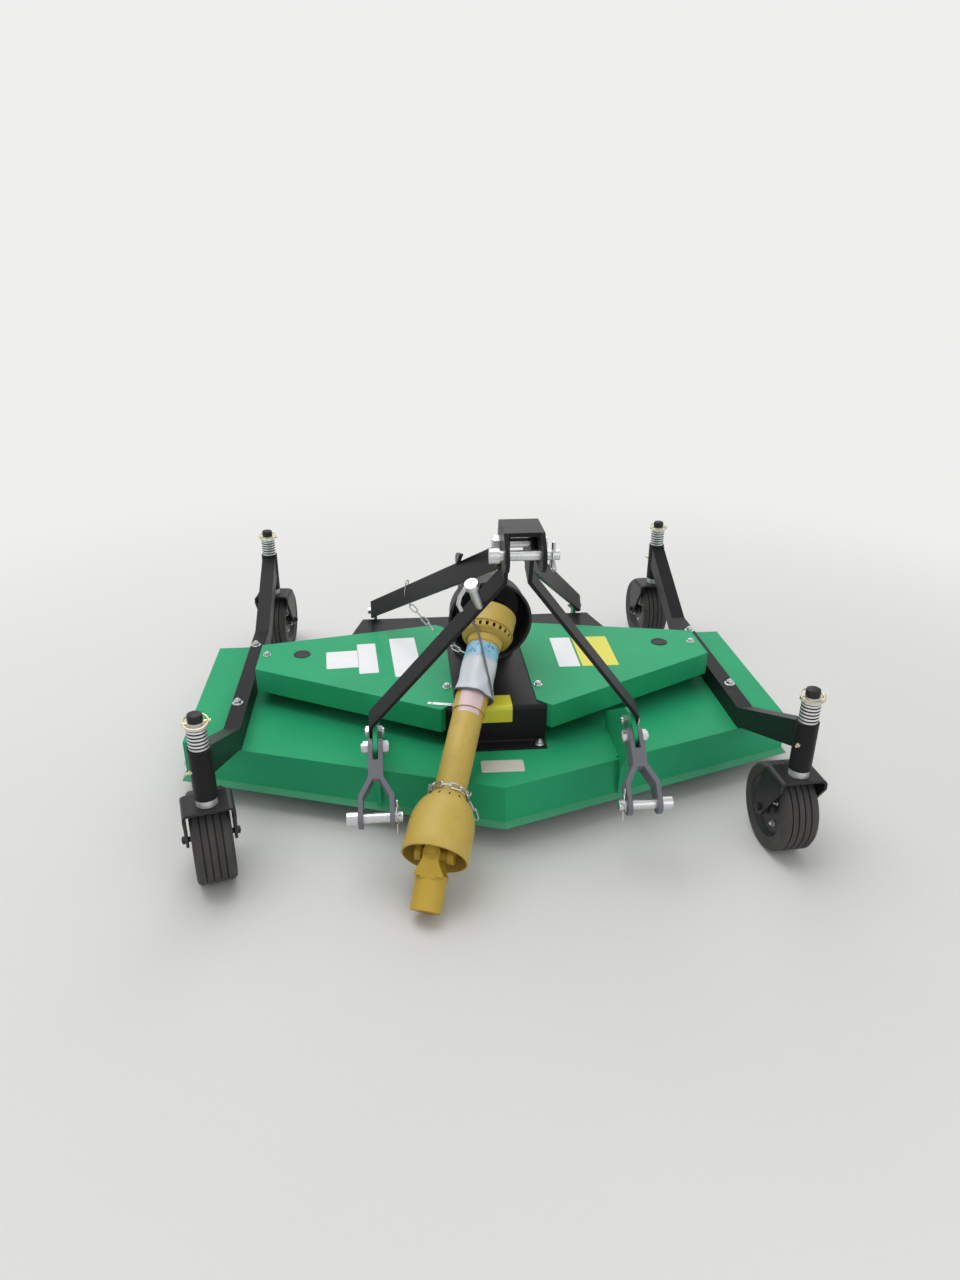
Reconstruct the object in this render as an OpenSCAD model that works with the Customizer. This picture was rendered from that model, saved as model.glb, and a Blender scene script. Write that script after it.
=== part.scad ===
/* Three-point finishing mower with four ribbed casters.
   Millimetres, +Z up, -Y towards the tractor, +X to the right seen from the tractor.
   Positions along Y are counted from the front caster pins and shifted by origin_y at the end. */

/* [Piece] */
// Piece to draw

/* [Placing] */
// Distance from the front caster pins to the origin, along Y
origin_y = 581.5; // [500:0.5:650]

/* [Deck] */
// Half width of the deck's top sheet
deck_half = 763; // [700:1:820]
// Y of the top sheet's front corner on the centre line
deck_apex_y = 87; // [60:1:110]
// Y of the top sheet's front corner at each side
deck_side_y = 350; // [320:1:380]
// Distance from the drive base's rear face to the deck's rear edge
rear_ledge = 49; // [45:1:90]
// Height of the top sheet's upper face above the ground
deck_z = 157; // [140:1:180]
// Height at which the side skirts start to flare
skirt_z = 64; // [60:1:80]
// Height of the flared lip's lower edge
lip_z = 52; // [40:1:56]
// How far the lip flares outwards
lip_out = 12; // [8:1:35]
// Depth of the short rear skirt
rear_skirt = 42; // [20:1:60]
// Sheet thickness of the deck
sheet = 4; // [3:0.5:6]

/* [Belt drive covers] */
// Height of the covers' upper face
cover_z = 260; // [250:1:280]
// Depth of the covers' downturned edge
cover_drop = 62; // [40:1:75]
// Sheet thickness of the covers and of the drive base
cover_sheet = 3; // [2:0.5:5]
// Half width between the two covers' inner edges
cover_inner_x = 100; // [80:1:115]
// How far the covers' outer edges lie inside the deck's sides
cover_inset = 161; // [157:1:200]
// Y of the covers' inner front corner
cover_front_in_y = 275; // [250:1:300]
// Y of the covers' outer front corner
cover_front_out_y = 530; // [500:1:560]
// Y of the covers' inner rear corner
cover_rear_in_y = 778; // [760:1:800]
// Y of the covers' outer rear corner
cover_rear_out_y = 679; // [660:1:720]
// Radius of the grease plug's hole in each cover
plug_r = 19; // [10:1:25]

/* [Drive base] */
// Half width of the base's front part
base_half = 120; // [110:1:140]
// Y of the base's front face
base_front_y = 282; // [260:1:300]
// Half width of the base's rear cross piece
base_rear_half = 365; // [300:1:400]
// Y where the rear cross piece starts
base_rear_from_y = 720; // [700:1:750]
// Y of the base's rear face
base_rear_y = 842; // [820:1:846]
// Outer radius of the base's front bend
base_bend = 11; // [6:1:20]
// Inner radius of the bend above the base's front foot
base_foot_bend = 5; // [2:0.5:12]
// Length of the base's bolted front foot
base_foot = 36; // [20:1:50]

/* [Rotors] */
// How far the outer spindles lie inside the deck's sides
spindle_inset = 274; // [264:1:290]
// Y of the outer spindles
spindle_y = 610; // [600:1:620]
// Y of the centre spindle
centre_y = 374; // [370:1:380]
// Radius of the blades' tip circle
blade_r = 252; // [240:1:256]
// Width of a blade
blade_w = 64; // [50:1:80]
// Thickness of a blade
blade_t = 7; // [5:1:10]
// Height of the blades' lower face
blade_z = 66; // [60:1:80]
// Radius of the spindle shafts
spindle_r = 15; // [10:1:20]
// Radius of the spindle pulleys
pulley_r = 72; // [50:1:80]
// Radius of the gearbox's drive pulley
drive_pulley_r = 96; // [80:1:100]
// Thickness of the pulleys
pulley_t = 26; // [20:1:30]
// Height of the pulleys' lower face
pulley_z = 198; // [180:1:205]

/* [Gearbox and shield] */
// Y of the gearbox's upright shaft
gear_y = 616; // [606:1:640]
// Height of the input shaft above the ground
input_z = 409; // [390:1:430]
// Half width of the gearbox housing
gear_half = 66; // [50:1:80]
// Distance from the gearbox's upright shaft to its front flange
gear_front = 72; // [60:1:90]
// Y of the shield's open end
shield_y = 450; // [430:1:470]
// Radius of the shield's open end
shield_r = 102; // [90:1:110]
// Wall of the shield
shield_wall = 3; // [2:0.5:5]

/* [Mast and hitch] */
// Half distance between the lower hitch brackets
hitch_x = 287; // [260:1:320]
// Y of the clevis bolt in each lower hitch bracket
hitch_y = 98; // [92:1:106]
// Height of the clevis bolt in each lower hitch bracket
hitch_z = 272; // [262:1:284]
// Distance from the clevis bolt back to the leg bolt
hitch_bolt_gap = 50; // [48:1:60]
// Height of the leg bolt above the clevis bolt
hitch_bolt_rise = 11; // [0:1:20]
// Thickness of the hitch bracket plate
hitch_plate = 10; // [8:1:14]
// Y of the top bracket's pivot bolt
mast_y = -20; // [-60:1:40]
// Height of the top bracket's pivot bolt
mast_z = 772; // [700:1:800]
// Half distance between the mast legs' inner faces at the top
mast_gap = 19.5; // [14:0.5:24]
// Width of the mast legs' flat bar
leg_w = 50; // [40:1:56]
// Thickness of the mast legs' flat bar
leg_t = 8; // [6:1:12]
// Half distance between the inner faces of the struts' rear ends
strut_x = 300; // [290:1:310]
// Distance from the drive base's rear face to the struts' rear bolts
strut_gap = 16; // [14:1:24]
// Height of the struts' rear bolts above the covers
strut_rise = 17; // [14:1:30]
// Distance from the top bracket's pivot back to the struts' front bolt
strut_back = 55; // [50:1:70]
// Depth of the struts' front bolt below the top bracket's pivot
strut_below = 42; // [36:1:60]
// Width of the struts' flat bar
strut_w = 46; // [35:1:52]
// Distance from the top bracket's pivot to its pin
top_reach = 75; // [60:1:90]
// Radius of the top pin
top_pin_r = 9.5; // [8:0.25:13]
// Thickness of the top bracket's plate
top_plate = 8; // [6:1:10]
// Height of the top bracket's plate above its pivot bolt
top_high = 40; // [34:1:50]
// Distance from the top bracket's pivot bolt forward to the plate's front edge
top_front = 70; // [56:1:78]
// Distance from the top bracket's pivot bolt back to the plate's rear edge
top_rear = 15; // [10:1:24]
// Radius of the top bracket's rounded nose
top_nose = 29; // [22:1:34]
// Radius of the bolts at the legs' feet
leg_bolt_r = 8; // [6:0.5:10]
// Play on each side between the legs and the top bracket
top_play = 1.5; // [1:0.5:3]
// Length of a leg's flat foot from its bolt to the lower bend
leg_foot_flat = 37; // [35:1:60]
// Length of a leg's flat head from its bolt to the upper bend
leg_head_flat = 80; // [78:1:130]
// Length of a strut's flat ends from their bolts to the bends
strut_flat = 40; // [32:1:60]
// Length of a strut's tail behind its rear bolt
strut_tail = 20; // [16:1:26]
// Height of a strut's tail above the covers
strut_clear = 3; // [2:0.5:4]

/* [Lower clevises] */
// Distance from the clevis bolt to the link pin
clevis_len = 154; // [130:1:170]
// Angle by which the clevises hang below level
clevis_drop = 42; // [30:1:60]
// Clear width between a clevis's cheeks at the link pin
clevis_gap = 56; // [46:1:60]
// Thickness of a clevis's flat bars
clevis_t = 10; // [8:1:14]
// Width of a clevis's flat bars
clevis_w = 46; // [42:1:50]
// Radius of the link pins
link_pin_r = 11; // [9:0.5:14]
// Length of the link pins
link_pin_len = 118; // [110:1:130]

/* [Casters] */
// How far the caster pins lie inside the deck's sides
caster_inset = 128; // [100:1:134]
// Distance between the front and rear caster pins
caster_base = 1183; // [1150:1:1250]
// Radius of the tyres
wheel_r = 101.5; // [95:0.5:110]
// Width of the tyres
tyre_w = 84; // [70:1:95]
// Trail of the wheels behind their pins
trail = 48; // [40:1:70]
// Clearance between tyre and fork plate
fork_gap = 6; // [5:1:15]
// Play between a tyre's side and a fork's cheek
cheek_gap = 6; // [5:1:12]
// Thickness of the fork plates
fork_t = 6; // [4:1:10]
// Length of the fork plates in front of the caster pin
fork_front = 32; // [26:1:40]
// Length of the fork plates behind the caster pin
fork_rear = 44; // [34:1:60]
// Outer radius of the bends between a fork's plate and its cheeks
fork_bend = 13; // [8:1:18]
// Radius of the fork cheeks' ends round the axle
fork_end_r = 18; // [14:1:24]
// Radius of the caster stems
stem_r = 14; // [10:0.5:16]
// Radius of the pivot tubes
tube_r = 24; // [20:0.5:30]
// Length of the pivot tubes
tube_len = 116; // [100:1:140]
// Height of the collar under each pivot tube
collar_h = 18; // [10:1:25]
// Number of spacer rings above each pivot tube
rings = 6; // [3:1:7]
// Height of one spacer ring
ring_h = 8; // [6:0.5:12]
// Radius of the axle bolts
axle_r = 6; // [5:0.5:10]

/* [Caster arms] */
// Height of the arms' tube
arm_s = 50; // [40:1:60]
// Width of the arms' tube
arm_w = 40; // [30:1:46]
// Y of the arms' front bend
arm_bend_f = 320; // [300:1:340]
// Y of the arms' rear bend
arm_bend_r = 893; // [870:1:910]

/* [Drive shaft] */
// Y of the upper joint's centre
joint_y = 456; // [440:1:466]
// Distance between the two joints' centres, telescoped as parked
shaft_len = 628; // [600:1:660]
// Angle by which the parked shaft slopes down
shaft_drop = 28.9; // [27:0.1:31]
// Angle by which the parked shaft lies to the left
shaft_swing = 17.7; // [14:0.1:20]
// Radius of the outer guard tube on the gearbox side
guard_r1 = 39; // [38.5:0.5:44]
// Radius of the inner guard tube on the tractor side
guard_r2 = 36; // [34:0.5:36]
// Wall of the guard tubes
guard_wall = 2.5; // [1.5:0.5:4]
// Radius of the gearbox side's guard bell at its open end
bell_r1 = 64.5; // [62:0.5:72]
// Length of the gearbox side's guard bell, from the joint to the end of its neck
bell_len1 = 88; // [84:1:110]
// Number of vents round the gearbox side's guard bell
vents = 22; // [12:1:28]
// Radius of the tractor side's guard bell at its open end
bell_r2 = 71; // [68:0.5:78]
// Length of the tractor side's guard bell, from the joint to the end of its neck
bell_len2 = 134; // [120:1:150]
// Length of the outer guard tube behind its bell
guard_len1 = 190; // [170:1:220]
// Distance from the gearbox side's bell to the inner guard tube's end
guard_end = 34; // [30:1:50]
// Length of the yokes from joint centre to hub
yoke_len = 52; // [48:1:56]
// Length of the hub of the end yoke
hub_len = 66; // [50:1:72]
// Radius of the yoke hubs
hub_r = 33; // [26:1:34]
// Distance from a joint's centre to an ear's outer face
ear_out = 42; // [38:1:46]
// Thickness of the yokes' ears
ear_t = 14; // [10:1:18]
// Radius of the yokes' ears
ear_r = 17; // [14:0.5:22]
// Radius of the bearing caps in the ears
cap_r = 12; // [9:0.5:14]

/* [Hidden] */
$fn = 48;
e = 0.01;
fit = 0.05;

green = [0.08, 0.50, 0.26];
black = [0.08, 0.08, 0.09];
grey = [0.32, 0.32, 0.34];
zinc = [0.78, 0.79, 0.80];
yellow = [0.78, 0.62, 0.20];
rubber = [0.07, 0.07, 0.07];
steel = [0.45, 0.45, 0.47];
iron = [0.30, 0.31, 0.32];

// caster name columns: x sign, 0 front or 1 rear, angle of the trail to the left of straight back
CASTERS = [["fl", -1, 0, 15], ["fr", 1, 0, 3], ["rl", -1, 1, -6], ["rr", 1, 1, 4]];
X = 1;
END = 2;
TURN = 3;

belt_w = 14;
belt_t = 9;
base_t = 4;
foot_t = 8;
cover_play = 2;
clevis_play = 1;
clevis_end_r = 19;
clevis_web_from = 34;
clevis_web_to = 76;
nose_r = 20;
pivot_r = 10;
frame_bolt_r = 6;
gear_flange_r = 58;
gear_shaft_r = 18;
collar_r = 22;
collar_gap = 0.3;
arm_end = 66;
rim_depth = 26;
bell_over = 10;
bell_split1 = 47;
bell_split2 = 60;
bell_taper = 2;
vent_w = 7;
vent_len = 10;
inner_shaft_r = 15;
spline_r = 17.5;
yoke_web = 8;
yoke_shoulder = 26;
yoke_hub = 34;
neck_len = 12;
guard_ring = 6;
caster_x = deck_half - caster_inset;
cover_outer_x = deck_half - cover_inset;
spindle_x = deck_half - spindle_inset;
deck_rear_y = base_rear_y + rear_ledge;
strut_y = base_rear_y + strut_gap;
cover_top = cover_z - cover_sheet;
strut_z = cover_z + strut_rise;
SPINDLES = [[-spindle_x, spindle_y], [0, centre_y], [spindle_x, spindle_y]];
strut_front_y = mast_y + strut_back;
strut_front_z = mast_z - strut_below;
bolt_y = hitch_y + hitch_bolt_gap;
bolt_z = hitch_z + hitch_bolt_rise;
top_xi = mast_gap + leg_t + top_play;
top_xo = top_xi + top_plate;
axle_z = wheel_r;
plate_z = 2 * wheel_r + fork_gap;
tube_z = plate_z + fork_t + collar_h;
tube_top = tube_z + tube_len;
fork_in = tyre_w / 2 + cheek_gap;
stem_top = tube_top + rings * ring_h + 27;

// Height of the lower joint, and the fall of the end yoke that sets its tip on the ground
end_joint_z = input_z - shaft_len * sin(shaft_drop);
end_len = yoke_len + hub_len;
end_drop = asin(min(1, (end_joint_z - 0.2) / norm([end_len, hub_r]))) - atan(hub_r / end_len);
arm_z = deck_z + arm_s;

// Deck outline with an offset outwards by g, counter-clockwise from the front corner
deck_slope = atan2(deck_side_y - deck_apex_y, deck_half);
function deck_pts(g) = let (
    hx = deck_half + g,
    ay = deck_apex_y - g / cos(deck_slope),
    sy = ay + hx * tan(deck_slope))
  [[0, ay], [hx, sy], [hx, deck_rear_y + g], [-hx, deck_rear_y + g], [-hx, sy]];

// Y of the deck's front edge at x, offset outwards by g
function deck_front(x, g = 0) = deck_apex_y - g / cos(deck_slope) + abs(x) * tan(deck_slope);

// Points on an arc about c from angle a0 to a1
function arc(c, r, a0, a1, n = 8) = [for (i = [0 : n]) let (a = a0 + (a1 - a0) * i / n) c + r * [cos(a), sin(a)]];

module at_origin() translate([0, -origin_y, 0]) children();

// Both sides from one right-hand shape
module side(s) if (s > 0) children(); else mirror([1, 0, 0]) children();

// Cylinder along X, Y or Z between two places
module rod_x(x0, x1, r) translate([x0, 0, 0]) rotate([0, 90, 0]) cylinder(r = r, h = x1 - x0);
module rod_y(y0, y1, r) translate([0, y1, 0]) rotate([90, 0, 0]) cylinder(r = r, h = y1 - y0);
module rod_z(z0, z1, r) translate([0, 0, z0]) cylinder(r = r, h = z1 - z0);

// Plate in the YZ plane between x0 and x1
module plate_yz(x0, x1, pts) translate([x0, 0, 0])
  rotate([90, 0, 90]) linear_extrude(x1 - x0) polygon(pts);

// Hexagonal head along X
module hex_x(x0, x1, r) translate([x0, 0, 0]) rotate([0, 90, 0]) cylinder(r = r, h = x1 - x0, $fn = 6);

// Sheet with two bends, from [y, z] = a at x = xa to b at x = xb, straight for fa and fb at its ends, t thick
// towards +X and wide enough for any outline
module bent_sheet(a, b, xa, xb, t, fa, fb) {
  len = norm(b - a);
  w = 120;
  d = t * tan(atan((xa - xb) / (len - fa - fb)) / 2);
  translate([0, a[0], a[1]]) rotate([atan2(b[1] - a[1], b[0] - a[0]) - 90, 0, 0])
    rotate([90, 0, 0]) linear_extrude(2 * w, center = true) polygon([
      [xa, -w], [xa, fa], [xb, len - fb], [xb, len + w],
      [xb + t, len + w], [xb + t, len - fb + d], [xa + t, fa + d], [xa + t, -w]]);
}

// Deck
module deck_flare() hull() {
  translate([0, 0, skirt_z - e]) linear_extrude(e) polygon(deck_pts(0));
  translate([0, 0, lip_z]) linear_extrude(e) polygon(deck_pts(lip_out));
}

module deck_flare_inside() hull() {
  translate([0, 0, skirt_z]) linear_extrude(e) polygon(deck_pts(-sheet));
  translate([0, 0, lip_z - e]) linear_extrude(e) polygon(deck_pts(lip_out - sheet));
}

module hitch_bracket() {
  yf = deck_front(hitch_x);
  difference() {
    plate_yz(hitch_x - hitch_plate / 2, hitch_x + hitch_plate / 2, concat(
      [[yf + 149, deck_z - e], [yf + 149, deck_z + 48], [bolt_y + 22, bolt_z + 22], [bolt_y - 23, bolt_z + 27]],
      arc([hitch_y, hitch_z], nose_r, 119, 215),
      [[yf - 26, deck_z - 7], [yf - 11, skirt_z + 4], [yf + sheet / 2, skirt_z + 4],
       [yf + sheet / 2, deck_z - e]]));
    translate([0, hitch_y, hitch_z]) rod_x(hitch_x - 20, hitch_x + 20, pivot_r + fit);
    translate([0, bolt_y, bolt_z]) rod_x(hitch_x - 20, hitch_x + 20, leg_bolt_r);
  }
}

module strut_foot() difference() {
  plate_yz(strut_x - foot_t, strut_x, [
    [base_rear_y + 2, deck_z - e], [deck_rear_y - 2, deck_z - e], [deck_rear_y - 2, deck_z + 30],
    [strut_y + 14, strut_z + 12], [strut_y - 12, strut_z + 12], [base_rear_y + 2, strut_z]]);
  translate([0, strut_y, strut_z]) rod_x(strut_x - 20, strut_x + 20, frame_bolt_r);
}

module spindle_hub(x, y) translate([x, y, 0]) {
  rod_z(deck_z - 50, deck_z - sheet + e, 46);
  rod_z(deck_z - e, deck_z + 12, 60);
  rod_z(deck_z + 12 - e, pulley_z - 8, 34);
}

module deck() color(green) difference() {
  union() {
    difference() {
      union() {
        translate([0, 0, skirt_z - e]) linear_extrude(deck_z - skirt_z + e) polygon(deck_pts(0));
        deck_flare();
      }
      translate([0, 0, skirt_z - 1]) linear_extrude(deck_z - sheet - skirt_z + 1) polygon(deck_pts(-sheet));
      translate([0, 0, -4 * e]) deck_flare_inside();
      translate([-2 * deck_half, deck_rear_y - sheet - 1, 0])
        cube([4 * deck_half, lip_out + sheet + 50, deck_z - rear_skirt]);
    }
    for (s = [-1, 1]) side(s) {
      hitch_bracket();
      strut_foot();
      spindle_hub(spindle_x, spindle_y);
    }
    spindle_hub(0, centre_y);
  }
  for (c = SPINDLES) translate([c[0], c[1], 0]) rod_z(0, pulley_z, spindle_r + fit);
}

// Covers
function cover_pts(g) = [
  [cover_inner_x - g, cover_front_in_y + 34 - g], [cover_inner_x + 34 - g * 0.4, cover_front_in_y - g],
  [cover_outer_x + g, cover_front_out_y - g * 0.6], [cover_outer_x + g, cover_rear_out_y + g],
  [cover_inner_x + 22, cover_rear_in_y + g], [cover_inner_x - g, cover_rear_in_y - 22]];

module cover(s) color(green) side(s) {
  low = cover_z - cover_drop;
  difference() {
    translate([0, 0, low]) linear_extrude(cover_drop) polygon(cover_pts(0));
    translate([0, 0, low - 1]) linear_extrude(cover_drop - cover_sheet + 1) polygon(cover_pts(-cover_sheet));
    // The inner and rear edges lie flat on the drive base
    translate([cover_inner_x - 50, cover_front_in_y - 50, low - 1])
      cube([base_half - cover_inner_x + 50 + cover_play, base_rear_y - cover_front_in_y + 50,
        cover_drop - cover_sheet + 1]);
    translate([cover_inner_x - 50, base_rear_from_y - cover_play, low - 1])
      cube([base_rear_half - cover_inner_x + 50 + cover_play, base_rear_y - base_rear_from_y + cover_play,
        cover_drop - cover_sheet + 1]);
    translate([spindle_x, spindle_y, cover_z - 20]) rod_z(0, 40, plug_r);
  }
  translate([cover_outer_x - 21, spindle_y, 0]) rod_z(deck_z, cover_top, 9);
}

// Drive base, a folded bridge over the belt, with its top, front and foot in one bent sheet
module base_front() {
  top = [base_front_y + base_bend, cover_top - base_bend];
  low = [base_front_y - base_foot_bend, deck_z + base_t + base_foot_bend];
  plate_yz(-base_half, base_half, concat(
    [[base_rear_y, cover_top - base_t], [base_rear_y, cover_top]],
    arc(top, base_bend, 90, 180), arc(low, base_foot_bend, 0, -90),
    [[base_front_y - base_foot, deck_z + base_t], [base_front_y - base_foot, deck_z]],
    arc(low, base_foot_bend + base_t, -90, 0), arc(top, base_bend - base_t, 180, 90)));
}

module drive_base() color(black) difference() {
  union() {
    base_front();
    translate([0, 0, cover_top - base_t]) linear_extrude(base_t) polygon([
      [-base_rear_half, base_rear_from_y], [base_rear_half, base_rear_from_y],
      [base_rear_half - 32, base_rear_y], [32 - base_rear_half, base_rear_y]]);
    translate([32 - base_rear_half, base_rear_y - base_t, deck_z])
      cube([2 * base_rear_half - 64, base_t, cover_top - deck_z]);
    for (s = [-1, 1]) side(s) for (y = [gear_y - 50, gear_y + 36])
      translate([base_half - 8, y, deck_z]) cube([8, 14, cover_top - deck_z - e]);
  }
  translate([0, gear_y, 0]) rod_z(deck_z + 2, cover_top + 5, gear_shaft_r + 6);
}

module gearbox() color(iron) {
  translate([0, gear_y, 0]) {
    rod_z(cover_top, cover_top + 14, gear_half + 14);
    rod_z(cover_top + 14 - e, input_z + 52, gear_half - 6);
    rod_z(input_z + 52 - e, input_z + 62, gear_half - 18);
    rod_z(pulley_z - 8, cover_top + 1, gear_shaft_r);
    rod_z(pulley_z, pulley_z + pulley_t, drive_pulley_r);
    for (a = [30 : 60 : 330]) rotate([0, 0, a])
      translate([gear_half - 10, -4, cover_top + 10]) cube([16, 8, 42]);
  }
  translate([-gear_half, gear_y - 52, input_z - 56]) cube([2 * gear_half, 104, 100]);
  translate([0, 0, input_z]) {
    rod_y(gear_y - gear_front, gear_y, gear_flange_r);
    rod_y(gear_y, gear_y + 64, 50);
  }
  // Input shaft with its yoke, the ears above and below the joint
  upper_place() {
    rod_y(yoke_len, gear_y - gear_front - joint_y + e, 17);
    rotate([0, 90, 0]) yoke(yoke_len, 34);
  }
}

module drive_shield() color(black)
  translate([0, gear_y - gear_front, input_z]) rotate([90, 0, 0]) {
    d = gear_y - gear_front - shield_y;
    rotate_extrude($fn = 72) polygon([
      [34, 0], [shield_r - 18, 0], [shield_r - 4, 20], [shield_r, d - 5], [shield_r + 3, d],
      [shield_r - shield_wall, d], [shield_r - shield_wall - 2, d - 6],
      [shield_r - shield_wall - 5, 21], [shield_r - 20, shield_wall], [34, shield_wall]]);
  }

// Belt round the outside of the four pulleys
module belt_loop(g) hull() {
  for (c = SPINDLES) translate(c) circle(r = pulley_r + g);
  translate([0, gear_y]) circle(r = drive_pulley_r + g);
}

module belt() color(rubber) translate([0, 0, pulley_z + pulley_t / 2 - belt_w / 2]) linear_extrude(belt_w)
  difference() {
    belt_loop(belt_t);
    belt_loop(0.4);
  }

// Mast legs stand on the outer faces of the hitch brackets; their heads widen to take the struts
module leg(s) color(black) side(s) {
  foot = [bolt_y, bolt_z];
  head = [mast_y, mast_z];
  brace = [strut_front_y, strut_front_z];
  lean = atan2(head[1] - foot[1], head[0] - foot[0]);
  along = [cos(lean), sin(lean)];
  rear = [sin(lean), -cos(lean)];
  difference() {
    intersection() {
      bent_sheet(foot, head, hitch_x + hitch_plate / 2, mast_gap, leg_t, leg_foot_flat, leg_head_flat);
      plate_yz(0, hitch_x + 40, concat(
        arc(foot, leg_w / 2, lean + 90, lean + 270),
        [head - along * (leg_head_flat - 8) + rear * leg_w / 2],
        arc(brace, strut_w / 2, -40, 53),
        arc(head, leg_w / 2, 54, lean + 90)));
    }
    translate([0, foot[0], foot[1]]) rod_x(hitch_x, hitch_x + 40, leg_bolt_r);
    translate([0, head[0], head[1]]) rod_x(0, 60, pivot_r + fit);
    translate([0, brace[0], brace[1]]) rod_x(0, 60, frame_bolt_r);
  }
}

// Struts lie on the legs' outer faces and on the outer faces of the strut feet
module strut(s) color(black) side(s) {
  low = [strut_y, strut_z];
  top = [strut_front_y, strut_front_z];
  xt = mast_gap + leg_t;
  lean = atan2(top[1] - low[1], top[0] - low[0]);
  along = [cos(lean), sin(lean)];
  up = [sin(lean), -cos(lean)] * strut_w / 2;
  yb = strut_y + strut_tail;
  zc = cover_z + strut_clear;
  difference() {
    intersection() {
      bent_sheet(low, top, strut_x, xt, leg_t, strut_flat, strut_flat);
      plate_yz(0, strut_x + 40, concat(
        [[yb, zc], [yb, (low + up)[1] + along[1] / along[0] * (yb - (low + up)[0])]],
        arc(top, strut_w / 2, lean - 90, lean + 90),
        [[(low - up)[0] + along[0] / along[1] * (zc - (low - up)[1]), zc]]));
    }
    translate([0, top[0], top[1]]) rod_x(0, 60, frame_bolt_r);
    translate([0, low[0], low[1]]) rod_x(strut_x - 20, strut_x + 20, frame_bolt_r);
  }
}

// Bolts of the mast, hitch brackets and strut feet
module frame_bolt(x0, x1, r) {
  rod_x(x0 - 14, x1 + 10, r);
  hex_x(x0 - 10, x0, 1.75 * r);
  hex_x(x1, x1 + 8, 1.75 * r);
}

module mast_bolts() color(zinc) {
  translate([0, strut_front_y, strut_front_z]) frame_bolt(-mast_gap - 2 * leg_t, mast_gap + 2 * leg_t, frame_bolt_r);
  for (s = [-1, 1]) side(s) {
    translate([0, bolt_y, bolt_z]) frame_bolt(hitch_x - hitch_plate / 2, hitch_x + hitch_plate / 2 + leg_t,
      leg_bolt_r);
    translate([0, strut_y, strut_z]) frame_bolt(strut_x - foot_t, strut_x + leg_t, frame_bolt_r);
  }
}

// Floating top bracket
module top_bracket() color(black) {
  yp = mast_y - top_reach;
  ztop = mast_z + top_high;
  difference() {
    union() {
      for (s = [-1, 1]) side(s) plate_yz(top_xi, top_xo, concat(
        arc([mast_y, mast_z], top_rear + 11, -90, 0), [[mast_y + top_rear, ztop], [mast_y - top_front, ztop]],
        arc([yp, mast_z - 2], top_nose, 118, 270)));
      translate([-top_xo, mast_y - top_front, ztop - top_plate]) cube([2 * top_xo, top_front + top_rear, top_plate]);
    }
    translate([0, yp, mast_z]) rod_x(-80, 80, top_pin_r + fit);
    translate([0, mast_y, mast_z]) rod_x(-80, 80, pivot_r + fit);
  }
}

// Pivot bolt and hitch pin of the top bracket
module top_pin() color(zinc) {
  translate([0, mast_y, mast_z]) {
    rod_x(-top_xo - 14, top_xo + 16, pivot_r);
    hex_x(-top_xo - 11, -top_xo, 15);
    hex_x(top_xo, top_xo + 11, 15);
  }
  translate([0, mast_y - top_reach, mast_z]) {
    rod_x(-top_xo - 26, top_xo + 26, top_pin_r);
    rod_x(-top_xo - 26, -top_xo - 8, top_pin_r + 4.5);
    translate([top_xo + 15, 0, 0]) rod_z(-24, 24, 3.5);
  }
}

// Lower clevis, drawn level towards the tractor and turned down about its bolt
module clevis_place(s) translate([s * hitch_x, hitch_y, hitch_z]) rotate([clevis_drop, 0, 0]) side(s) children();

module clevis_bars() {
  gi = hitch_plate / 2 + clevis_play;
  go = clevis_gap / 2;
  bend1 = clevis_web_to - 6;
  bend2 = bend1 + 40;
  for (m = [-1, 1]) side(m) linear_extrude(clevis_w, center = true) polygon([
    [gi, clevis_w], [gi + clevis_t, clevis_w], [gi + clevis_t, -bend1], [go + clevis_t, -bend2],
    [go + clevis_t, -clevis_len - clevis_w], [go, -clevis_len - clevis_w], [go, -bend2 - 4], [gi, -bend1 - 4]]);
}

module clevis(s) color(grey) clevis_place(s) difference() {
  union() {
    intersection() {
      clevis_bars();
      union() {
        rod_x(-60, 60, clevis_end_r);
        translate([0, -clevis_len, 0]) rod_x(-60, 60, clevis_w / 2);
        translate([-60, -clevis_len, -clevis_w / 2]) cube([120, clevis_len - 20, clevis_w]);
        translate([-60, -24, -clevis_end_r]) cube([120, 24, 2 * clevis_end_r]);
      }
    }
    translate([-hitch_plate, -clevis_web_to, -6]) cube([2 * hitch_plate, clevis_web_to - clevis_web_from, clevis_w / 2 + 6]);
  }
  rod_x(-60, 60, pivot_r + fit);
  translate([0, -clevis_len, 0]) rod_x(-60, 60, link_pin_r + fit);
}

// Link pin and pivot bolt of one clevis
module link_pin(s) color(zinc) clevis_place(s) {
  gi = hitch_plate / 2 + clevis_play + clevis_t;
  go = clevis_gap / 2 + clevis_t;
  rod_x(-gi - 13, gi + 15, pivot_r);
  hex_x(-gi - 11, -gi, 14.5);
  hex_x(gi, gi + 11, 14.5);
  translate([0, -clevis_len, 0]) {
    rod_x(-link_pin_len / 2 + 4, link_pin_len / 2 + 4, link_pin_r);
    rod_x(go + 1, link_pin_len / 2 + 4, link_pin_r + 3);
    translate([-link_pin_len / 2 + 10, 0, 0]) rod_z(-26, 26, 3);
  }
}

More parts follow.
